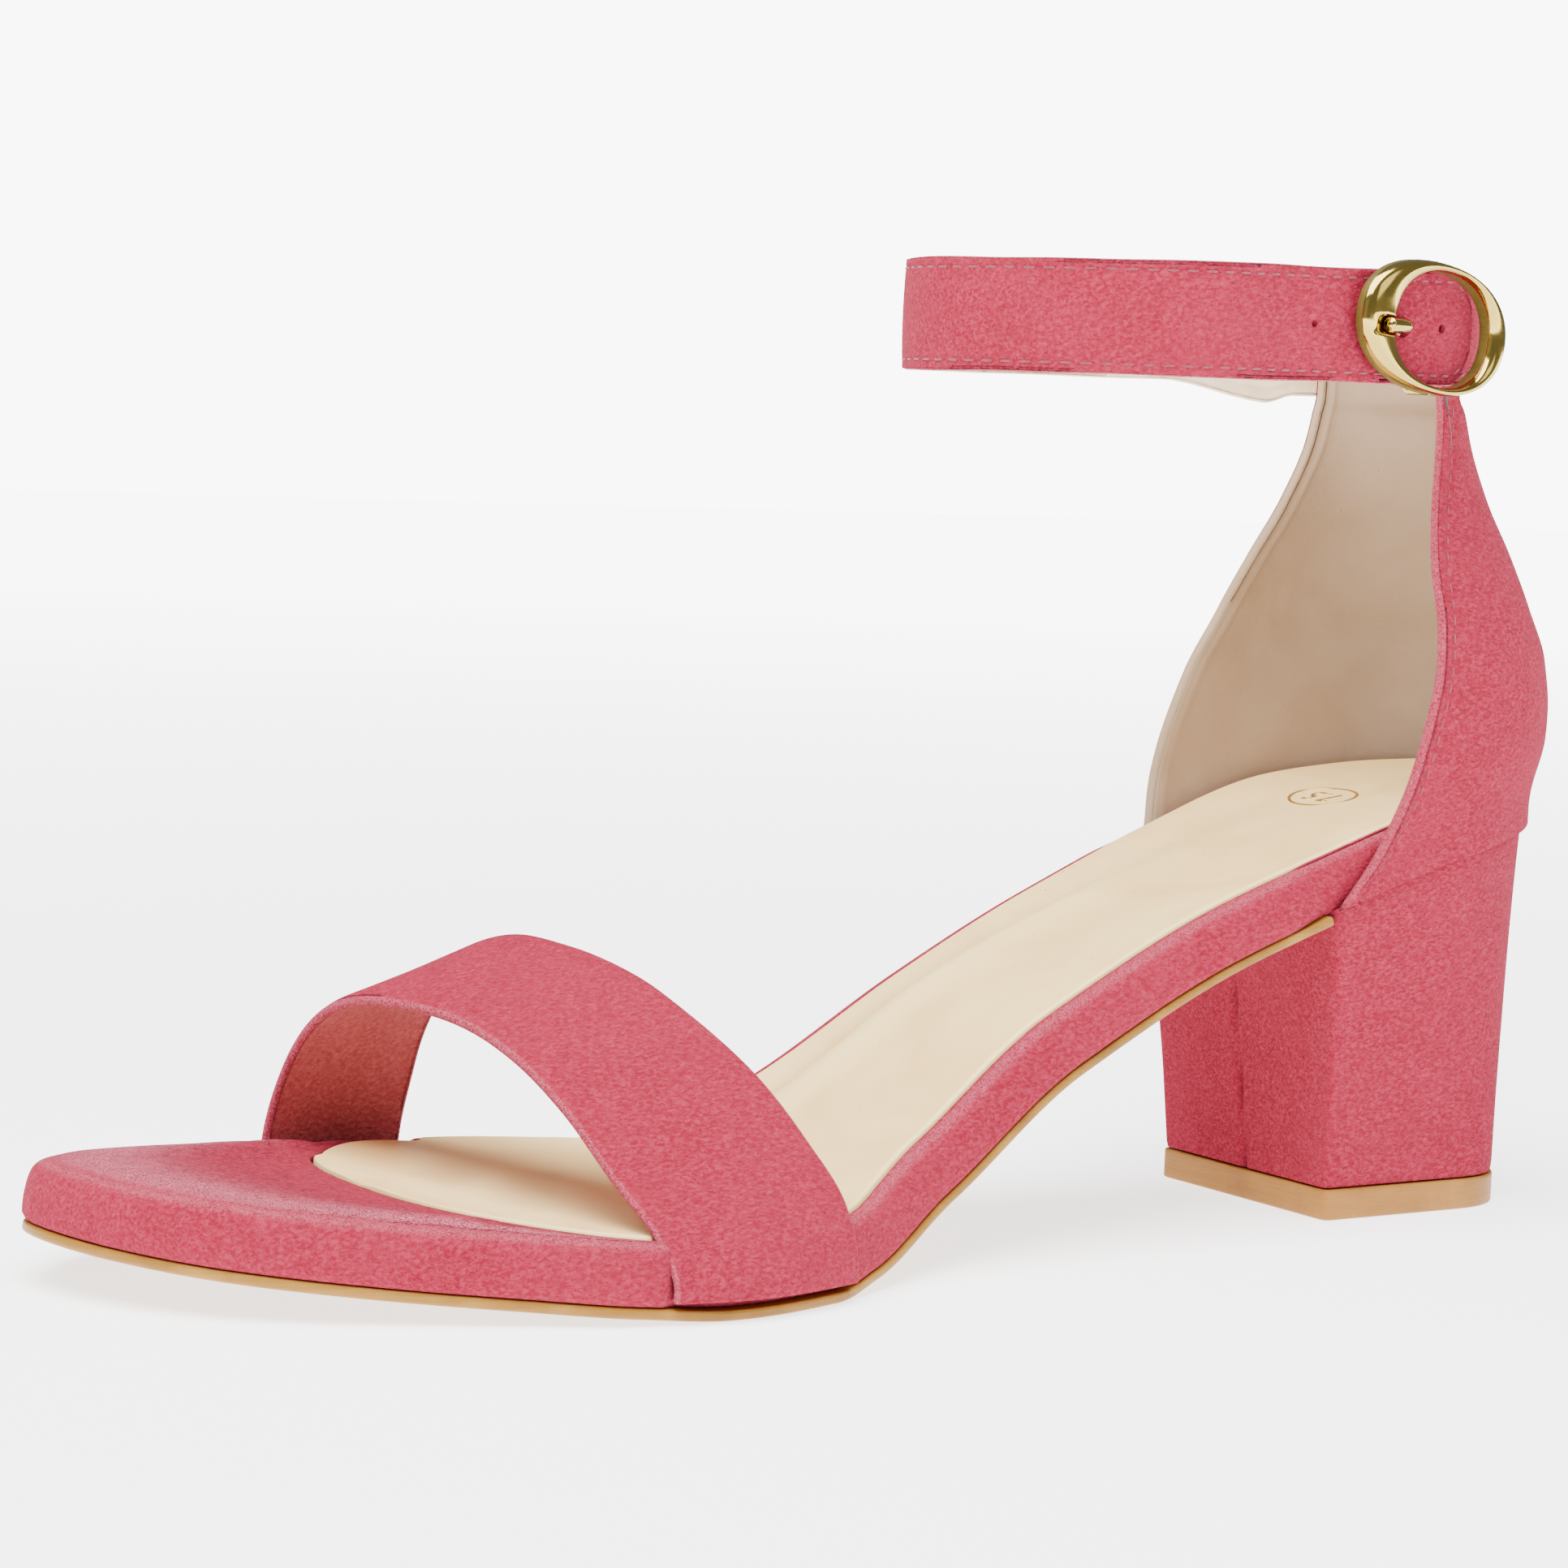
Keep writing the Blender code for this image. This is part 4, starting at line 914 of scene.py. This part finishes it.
def make_counter():
    grid = counter_grid().transpose(1, 0, 2)
    normal = surface_normals(grid)
    if normal[10, 40, 0] < 0:
        normal = -normal
    steps = np.linalg.norm(np.diff(grid, axis=0), axis=2)
    from_first = np.vstack([np.zeros(steps.shape[1]), np.cumsum(steps, axis=0)])
    from_edge = np.minimum(from_first, from_first[-1] - from_first)
    groove = -0.20 * MM * bell((from_edge - COUNTER_STITCH_IN) / (0.55 * MM))
    rim = 0.16 * MM * bell((from_edge - 1.3 * MM) / (0.9 * MM))
    relief = lumps(grid, 0.020, 51) * 0.16 * MM + lumps(grid, 0.006, 53) * 0.04 * MM
    grid = grid + normal * (groove + rim + relief * ease(from_edge / 0.004))[:, :, None]
    rings, sides = sheet_wall(grid, normal, COUNTER_WALL)
    looks = [CORAL, TAUPE, TAUPE, TAUPE, CORAL, CORAL]
    put_wall("heel_counter_suede", rings, sides, looks, "heel_counter", 0.28)
    return grid, normal, from_first


# ---------------------------------------------------------------- ankle strap

def strap_forward(y):
    return np.clip((-y - STRAP_BACK) / STRAP_DEPTH, 0, 1)


class Loop:
    """The strap's plan: a closed path from its rear, along the outer side first."""

    def __init__(self, count=241):
        along = round_shares(count)
        square = smooth(LOOP["along"], np.square(LOOP["half"]), along)
        half = STRAP_HALF * np.sqrt(np.maximum(square, 0.0))
        centre = STRAP_HALF * smooth(LOOP["along"], LOOP["centre"], along)
        y = -STRAP_BACK - along * STRAP_DEPTH
        lateral = np.column_stack([centre + half, y])
        medial = np.column_stack([centre - half, y])
        self.path = np.vstack([lateral, medial[::-1][1:]])
        self.travel = travelled(self.path)
        self.length = self.travel[-1]
        self.lateral = count
        self.bar = self.travel_at(BUCKLE_PLACE)

    def travel_at(self, ahead):
        """Travel on the outer side, at this distance ahead of the sole's back."""
        return float(np.interp(ahead, -self.path[:self.lateral, 1], self.travel[:self.lateral]))

    def at(self, travel):
        return read_at(np.mod(travel, self.length), self.travel, self.path)

    def normal(self, travel):
        travel = np.asarray(travel)
        along = unit(self.at(travel + STRAP) - self.at(travel - STRAP))
        return np.column_stack([-along[:, 1], along[:, 0]])


LOOP_LINE = Loop()
STRAP_START = LOOP_LINE.bar - BAR / 2 - GAP
# the tail ends behind the ring, as seen in the photo
STRAP_FINISH = LOOP_LINE.bar - STRAP_TAIL - LOOP_LINE.length + TAIL_SHORTER
# each hole's distance ahead of the sole's back, its radius and its depth
HOLES = ((0.0387, 0.70 * MM, 2.6 * MM), (0.0470, PRONG_HOLE / 2, 3.0 * MM),
         (0.0553, 0.70 * MM, 3.4 * MM), (0.0636, 0.55 * MM, 3.0 * MM))


def strap_outer(travel):
    """Outer face's plan at a travel, its half height and its middle height."""
    to_bar = travel - (LOOP_LINE.bar - LOOP_LINE.length)
    climb = ease((STRAP_CLIMB + HOLE_AHEAD + PRONG_HOLE - to_bar) / STRAP_CLIMB)
    outer = LOOP_LINE.at(travel) + LOOP_LINE.normal(travel) * (climb * (STRAP + GAP))[:, None]
    into = np.clip(1 - (travel - STRAP_FINISH) / TAIL_TAPER, 0, 1)
    forward = strap_forward(outer[:, 1])
    half = (STRAP_HEIGHT - STRAP_NARROWING * forward) / 2
    half = half * (1 - (1 - TAIL_TIP) * into ** TAIL_SQUARE)
    # it is narrower round the back of the ankle, behind the ring
    half = half * (1 - STRAP_NARROWER * ease((outer[:, 1] - NARROWER_FROM) / NARROWER_RAMP))
    return outer, half, STRAP_LEVEL - STRAP_FALL * forward


def punch_hole(piece, ahead, radius, depth):
    at = LOOP_LINE.travel_at(ahead)
    outer, _, level = strap_outer(np.array([at - LOOP_LINE.length]))
    normal = LOOP_LINE.normal([at])[0]
    centre = Vector((*outer[0], level[0])) + Vector((*normal, 0)) * (0.0008 - depth / 2)
    turn = Matrix.Rotation(math.atan2(normal[1], normal[0]), 3, "Z")
    shape = bmesh.new()
    bmesh.ops.create_cone(shape, cap_ends=True, segments=28, radius1=radius, radius2=radius,
                          depth=depth)
    for matrix in (Matrix.Rotation(math.pi / 2, 3, "Y"), turn):
        bmesh.ops.rotate(shape, verts=shape.verts, matrix=matrix)
    bmesh.ops.translate(shape, verts=shape.verts, vec=centre + Vector(SHIFT))
    mesh = bpy.data.meshes.new("punch")
    shape.to_mesh(mesh)
    shape.free()
    punch = placed("punch", mesh)
    cut = piece.modifiers.new("hole", "BOOLEAN")
    cut.operation, cut.solver, cut.object = "DIFFERENCE", "EXACT", punch
    graph = bpy.context.evaluated_depsgraph_get()
    done = bpy.data.meshes.new_from_object(piece.evaluated_get(graph),
                                           preserve_all_data_layers=True, depsgraph=graph)
    piece.modifiers.clear()
    piece.data = done
    bpy.data.objects.remove(punch)


def make_strap():
    taper = TAIL_TAPER * (1 - np.linspace(0, 1, 26)[1:] ** 0.8)
    travel = np.concatenate([np.linspace(STRAP_START, STRAP_FINISH + TAIL_TAPER, 430),
                             STRAP_FINISH + taper])
    outer, half, middle = strap_outer(travel)
    flat = np.column_stack([outer, middle])
    half = half + lumps(flat, 0.012, 61) * 0.10 * MM
    stitch = 1 - STITCH_IN / (STRAP_HEIGHT / 2)
    sides = [-1, -.975, -.94, -.90, *(-stitch + step for step in (-.04, -.02, 0, .02, .04))]
    sides = np.concatenate([sides, np.linspace(-.72, .72, 15), -np.array(sides)[::-1]])
    x, y = outer.T
    flare = 3.2 * MM * ease((y + 0.050) / 0.022) * ease(-x / 0.018) * ease((0.004 - y) / 0.020)
    grid = np.array([np.column_stack([outer, middle + side * half - flare * max(0.0, -side) ** 2])
                     for side in sides])
    facing = np.column_stack([LOOP_LINE.normal(travel), np.zeros(len(travel))])
    normal = np.broadcast_to(facing, grid.shape).copy()
    groove = -0.14 * MM * bell((np.abs(sides) - stitch) / 0.03)
    crown = 0.22 * MM * (1 - sides ** 2)
    relief = lumps(grid, 0.014, 67) * 0.08 * MM * ease((1 - np.abs(sides)) / 0.1)[:, None]
    # the crown and groove go inwards, so that the strap stays in its solid
    grid = grid + normal * ((groove + crown)[:, None] - 0.22 * MM + relief)[:, :, None]
    rings, kinds = sheet_wall(grid, normal, STRAP - 0.25 * MM)
    looks = [CORAL, CORAL, PALE, PALE, CORAL, PALE]
    piece = put_wall("ankle_strap_suede", rings, kinds, looks, "ankle_strap", 0.45)
    for hole in HOLES:
        punch_hole(piece, *hole)


# ---------------------------------------------------------------- buckle

def seat_of_buckle():
    place = LOOP_LINE.at([LOOP_LINE.bar])[0]
    normal = LOOP_LINE.normal([LOOP_LINE.bar])[0]
    place = place + normal * (STRAP + 2 * GAP)
    level = STRAP_LEVEL - STRAP_FALL * float(strap_forward(place[1]))
    return np.array([*place, level]), math.atan2(normal[1], normal[0])


def on_buckle(points):
    """Buckle's own axes (out of the strap, along it to the rear, up) into the drawing's."""
    seat, turn = seat_of_buckle()
    points = np.asarray(points, float)
    out, along, up = points[..., 0], points[..., 1], points[..., 2]
    x = out * math.cos(turn) - along * math.sin(turn)
    y = out * math.sin(turn) + along * math.cos(turn)
    return np.stack([x, y, up], axis=-1) + seat


def tube(path, radius, sides, domed=True):
    """Round rod along a path in the buckle's axes, with domed or flat ends."""
    path = np.array(path, float)
    scale = np.ones(len(path))
    if domed:
        angles = np.linspace(0, math.pi / 2, 9)[1:]
        domes = []
        for end, inner in ((0, 1), (-1, -2)):
            step = (path[end] - path[inner]) / np.linalg.norm(path[end] - path[inner])
            domes.append([path[end] - step * radius * (1 - math.sin(angle)) for angle in angles])
            path[end] = path[end] - step * radius
        path = np.vstack([domes[0][::-1], path, domes[1]])
        scale = np.concatenate([np.cos(angles)[::-1], scale, np.cos(angles)])
    tangent = unit(np.gradient(path, axis=0))
    side = np.empty_like(path)
    side[0] = np.cross(tangent[0], (0.31, 0.52, 0.79))
    for i in range(1, len(path)):
        side[i] = side[i - 1] - tangent[i] * np.dot(side[i - 1], tangent[i])
    side = unit(side)
    other = np.cross(side, tangent)
    angles = np.linspace(0, 2 * math.pi, sides, endpoint=False)
    turned = (side[:, None] * np.cos(angles)[None, :, None]
              + other[:, None] * np.sin(angles)[None, :, None])
    rings = path[:, None] + radius * scale[:, None, None] * turned
    faces = ring_faces(len(rings), sides) + end_caps(len(rings), sides)
    return rings.reshape(-1, 3), faces


BAR_DEPTH = -(2 * GAP + STRAP + BAR / 2)
RING_FRONT = BUCKLE_OPEN_SHIFT - BUCKLE_OPEN_LENGTH / 2


def make_ring():
    """The ring with its bar; its side walls are matt and dark, a painted dark reflection."""
    across = (0, 0, 0, .02, .06, .16, .30, .50, .70, .84, .94, .98, 1, 1, 1, .97, .5, .03)
    out = (.06, .24, .44, .58, .72, .86, .96, 1, .96, .86, .72, .58, .44, .24, .06, 0, 0, 0)
    count = len(across)
    ring = []
    angles = np.linspace(0, 2 * math.pi, 200, endpoint=False)
    for angle in angles:
        c, w = math.cos(angle), math.sin(angle)
        place = (abs(c) ** 2.2 + abs(w) ** 2.2) ** (-1 / 2.2) * np.array([c, w])
        outer = place * (BUCKLE_LENGTH / 2, BUCKLE_HEIGHT / 2)
        inner = place * (BUCKLE_OPEN_LENGTH / 2, BUCKLE_OPEN_HEIGHT / 2) + (BUCKLE_OPEN_SHIFT, 0)
        for share, level in zip(across, out):
            y, z = inner + (outer - inner) * share
            ring.append((level * BUCKLE_THICK,
                         y * math.cos(BUCKLE_TURN) + z * math.sin(BUCKLE_TURN),
                         z * math.cos(BUCKLE_TURN) - y * math.sin(BUCKLE_TURN)))
    ring = np.array(ring)
    # the prong's seat in the front rim
    off = np.abs(ring[:, 2]) / (PRONG / 2 + GAP)
    seat = NOTCH * np.sqrt(np.clip(1 - off ** 2, 0, 1)) * (ring[:, 1] < RING_FRONT + 2 * MM)
    seat = seat * ease((ring[:, 1] - (RING_FRONT - PRONG_REST - 0.4 * MM)) / (0.8 * MM))
    ring[:, 0] = np.minimum(ring[:, 0], BUCKLE_THICK - seat + 1e-6 * (seat <= 0))
    faces = ring_faces(len(angles), count, looped=True)
    # the side walls take the dark matt look, a painted dark reflection
    which = [int(k in (0, 1, 2, 12, 13, 14, count - 1)) for _ in angles for k in range(count)]
    ear_height = (BUCKLE_HEIGHT - STRAP_HEIGHT) / 2 - GAP
    reach = STRAP_HEIGHT / 2 + GAP + ear_height * 0.45
    bar = [(BUCKLE_THICK * 0.45, 0, -reach), (0, 0, -reach)]
    for bend in np.linspace(0, math.pi / 2, 8):
        bar.append((BAR_DEPTH + 0.7 * MM * (1 - math.sin(bend)), 0,
                    -reach + 0.7 * MM * (1 - math.cos(bend))))
    bar += [(BAR_DEPTH, 0, 0)] + [(deep, 0, -up) for deep, _, up in bar[::-1]]
    points, more = tube(bar, BAR / 2 * 0.8, 20, domed=False)
    faces += moved(more, len(ring))
    put("buckle_ring_gold", on_buckle(np.vstack([ring, points])), faces, [GOLD, GOLD_INSIDE],
        "metal_gold", "buckle_frame", which=which + [0] * len(more), sharp=50)


def make_prong():
    deep = -(3 * GAP + STRAP + PRONG / 2)
    rest = BUCKLE_THICK - NOTCH + GAP + PRONG / 2
    root = -(BAR + PRONG) / 2 - GAP
    near = PRONG_BEND * (1 - math.sqrt(0.5))
    route = ((deep, root), (deep, PRONG_BEND - HOLE_AHEAD), (deep + near, near - HOLE_AHEAD),
             (deep + PRONG_BEND, -HOLE_AHEAD), (-STRAP / 2, -HOLE_AHEAD - 0.2 * MM),
             (rest * 0.12, -HOLE_AHEAD - 0.9 * MM), (rest * 0.55, -HOLE_AHEAD - 2.1 * MM),
             (rest * 0.88, RING_FRONT + 0.7 * MM), (rest, RING_FRONT - 0.7 * MM),
             (rest, RING_FRONT - PRONG_REST + 1.2 * MM))
    places = through(route, 70)
    points, faces = tube(np.column_stack([places, np.zeros(len(places))]), PRONG / 2, 32)
    put("buckle_prong_gold", on_buckle(points), faces, [GOLD], "metal_gold", "buckle_prong")


# ---------------------------------------------------------------- stitches

def stitch_shape():
    """Small rounded thread, one unit long along X."""
    verts = []
    for along in np.linspace(-0.5, 0.5, 9):
        thick = math.sqrt(max(0.0, 1 - (abs(along) * 2) ** 3.2)) + 0.02
        for angle in np.linspace(0, 2 * math.pi, 8, endpoint=False):
            verts.append((along, thick * math.cos(angle), thick * math.sin(angle)))
    return np.array(verts), ring_faces(9, 8) + end_caps(9, 8)


def put_stitches(name, sets, length, width, look):
    shape, shape_faces = stitch_shape()
    verts, faces = [], []
    for centre, tangent, normal in zip(*(np.vstack(group) for group in zip(*sets))):
        side = np.cross(normal, tangent)
        faces += moved(shape_faces, len(verts) * len(shape))
        verts.append(centre + shape[:, :1] * length * tangent + shape[:, 1:2] * width * side
                     + shape[:, 2:] * width * 0.8 * normal)
    put(name, np.vstack(verts), faces, [look], "suede_coral")


def along_path(points, normals, pitch):
    """Centres, tangents and normals at even distances along a path."""
    travel = travelled(points)
    at = np.arange(pitch / 2, travel[-1], pitch)
    reach = pitch * 0.2
    tangent = unit(read_at(at + reach, travel, points) - read_at(at - reach, travel, points))
    normal = read_at(at, travel, normals)
    normal = unit(normal - tangent * np.sum(normal * tangent, axis=1)[:, None])
    return read_at(at, travel, points), tangent, normal


def strap_stitches():
    travel = np.linspace(STRAP_START - 0.002, STRAP_FINISH + 0.0025, 700)
    outer, half, middle = strap_outer(travel)
    normal = np.column_stack([LOOP_LINE.normal(travel), np.zeros(len(travel))])
    sets = []
    for sign in (1, -1):
        path = np.column_stack([outer, middle + sign * (half - STITCH_IN)]) - normal * 0.20 * MM
        sets.append(along_path(path, normal, 2.9 * MM))
    put_stitches("ankle_strap_stitches", sets, 1.8 * MM, 0.17 * MM, THREAD)


def counter_stitches(grid, normal, from_first):
    sets = []
    for far in (False, True):
        distance = from_first[-1] - from_first if far else from_first
        path, facing = [], []
        for level in range(4, grid.shape[1] - 8):
            order = np.argsort(distance[:, level])
            for found, values in ((path, grid), (facing, normal)):
                found.append([np.interp(COUNTER_STITCH_IN, distance[order, level],
                                        values[order, level, axis]) for axis in range(3)])
        path, facing = np.array(path), np.array(facing)
        sets.append(along_path(path - facing * 0.02 * MM, facing, 2.6 * MM))
    put_stitches("heel_counter_stitches", sets, 1.6 * MM, 0.15 * MM, THREAD_DARK)


def ribbon(name, points, normals, widths, thick, look):
    """Thin raised strip along a path on a surface, with its own width at each place."""
    side = np.cross(normals, unit(np.gradient(points, axis=0)))
    rings = []
    for angle in np.linspace(0, 2 * math.pi, 12, endpoint=False):
        rings.append(points + side * (widths / 2 * math.cos(angle))[:, None]
                     + normals * thick * math.sin(angle))
    rings = np.array(rings).transpose(1, 0, 2)
    faces = ring_faces(len(rings), 12) + end_caps(len(rings), 12)
    put(name, rings.reshape(-1, 3), faces, [look], "suede_coral")


def make_counter_fold(grid, normal):
    """Dark V between the two flaps of suede under the buckle, and the loose thread below it."""
    lateral = grid[:grid.shape[0] // 2].reshape(-1, 3)
    facing = normal[:grid.shape[0] // 2].reshape(-1, 3)

    def on_counter(y, z):
        place = np.argmin(np.square(lateral[:, 1] - y) + np.square(lateral[:, 2] - z))
        return lateral[place], facing[place]

    fold = ((-0.0262, 0.1235), (-0.0258, 0.1215), (-0.0256, 0.1195))
    loose = ((-0.0256, 0.1200), (-0.0254, 0.1170), (-0.0258, 0.1140))
    for name, route, width, look in (("counter_fold_shadow", fold, (1.1, 0.12), SHADOW),
                                     ("counter_fold_thread", loose, (0.32, 0.26), THREAD)):
        route = through(route, 14)
        ends = [on_counter(*place) for place in (route[0], route[7], route[-1])]
        base = through([end[0] for end in ends], 14)
        out = unit(through([end[1] for end in ends], 14))
        ribbon(name, base + out * 0.05 * MM, out, np.linspace(*width, 14) * MM, 0.12 * MM, look)


def make_size_mark():
    """Plain size number in a ring, pressed in foil on the heel end of the sock."""
    words = bpy.data.curves.new("size_mark", "FONT")
    words.body = "7.5"
    words.size = 5.2 * MM
    words.align_x, words.align_y = "CENTER", "CENTER"
    words.extrude = 0.04 * MM
    words.resolution_u = 6
    holder = placed("size_words", words)
    graph = bpy.context.evaluated_depsgraph_get()
    flat = bpy.data.meshes.new_from_object(holder.evaluated_get(graph), depsgraph=graph)
    bpy.data.objects.remove(holder)
    points = np.array([vertex.co for vertex in flat.vertices])
    faces = [tuple(face.vertices) for face in flat.polygons]
    faces += moved(ring_faces(72, 4, looped=True), len(points))
    angles = np.linspace(0, 2 * math.pi, 72, endpoint=False)
    rim = [np.column_stack([6.2 * MM * radius * np.cos(angles), 4.3 * MM * radius * np.sin(angles),
                            np.full(72, up * 0.04 * MM)])
           for radius, up in ((1.0, -1), (1.0, 1), (0.91, 1), (0.91, -1))]
    points = np.vstack([points, np.array(rim).transpose(1, 0, 2).reshape(-1, 3)])
    # the number reads from the toe's side, across the sock
    x, y = -0.0028 - points[:, 0], -0.0290 - points[:, 1]
    height = TOP + GAP + sock_relief(x, y) + (points[:, 2] + 0.03 * MM)
    put("size_mark_foil", lift(np.column_stack([x, y]), height), faces, [FOIL], "sock_cream")


# ---------------------------------------------------------------- the studio

def make_studio():
    shape = bmesh.new()
    bmesh.ops.create_grid(shape, x_segments=8, y_segments=8, size=4.0)
    mesh = bpy.data.meshes.new("studio_floor")
    shape.to_mesh(mesh)
    shape.free()
    look = Look("studio_white", 0.65)
    cloud = look.noise(3.0, 2.0)
    far = look.spread(look.distance(), 0.25, 2.00, 0.0, 1.0)
    glow = look.mix(far, (0.28, 0.28, 0.28), (1.0, 1.0, 1.0))
    look.set(look.shader, "Emission Color", glow)
    look.shader.inputs["Emission Strength"].default_value = 8.0
    patches = look.spread(cloud, 0.3, 0.7, 0.0, 1.0)
    look.finish(look.mix(patches, (0.91, 0.91, 0.91), (0.93, 0.93, 0.93)))
    mesh.materials.append(look.material)
    floor = placed("studio_floor", mesh)
    world = bpy.data.worlds.new("studio")
    world.use_nodes = True
    tree = world.node_tree
    soft = tree.nodes["Background"]
    soft.inputs["Color"].default_value = (1.0, 1.0, 1.0, 1)
    soft.inputs["Strength"].default_value = 0.32
    seen = tree.nodes.new("ShaderNodeBackground")
    seen.inputs["Color"].default_value = (1.0, 1.0, 1.0, 1)
    seen.inputs["Strength"].default_value = 9.0
    ray = tree.nodes.new("ShaderNodeLightPath")
    both = tree.nodes.new("ShaderNodeMixShader")
    tree.links.new(ray.outputs["Is Camera Ray"], both.inputs[0])
    tree.links.new(soft.outputs[0], both.inputs[1])
    tree.links.new(seen.outputs[0], both.inputs[2])
    tree.links.new(both.outputs[0], tree.nodes["World Output"].inputs["Surface"])
    bpy.context.scene.world = world
    target = Vector((0.0, 0.0, 0.05))
    for name, place, size, power in (("key", (1.05, 0.55, 0.75), 0.6, 3.0),
                                     ("top", (0.20, -0.36, 1.36), 1.4, 84.0),
                                     ("fill", (0.5, -1.1, 0.45), 0.8, 0.5)):
        data = bpy.data.lights.new(name, "AREA")
        data.shape = "SQUARE"
        data.size = size
        data.energy = power
        light = placed(name, data)
        light.location = place
        light.rotation_euler = (target - Vector(place)).to_track_quat("-Z", "Y").to_euler()


def make_camera():
    """The camera that was fitted to the photo's outlines."""
    data = bpy.data.cameras.new("camera")
    data.lens = 96.4
    data.sensor_width = 36.0
    data.clip_start = 0.05
    camera = placed("camera", data)
    back = -Vector((-0.8337, 0.5455, -0.0865)).normalized()
    right = Vector((0.5442, 0.8380, 0.0398))
    right = (right - back * right.dot(back)).normalized()
    up = back.cross(right)
    place = Vector((0.48911, -0.4519, 0.11531)) + Vector(SHIFT)
    turn = Matrix((right, up, back)).transposed().to_4x4()
    camera.matrix_world = Matrix.Translation(place) @ turn
    bpy.context.scene.camera = camera


make_footbed()
make_sock()
make_outsole()
make_heel()
make_heel_tip()
make_toe_band()
counter = make_counter()
make_strap()
make_ring()
make_prong()
strap_stitches()
counter_stitches(*counter)
make_counter_fold(*counter[:2])
make_size_mark()
make_studio()
make_camera()
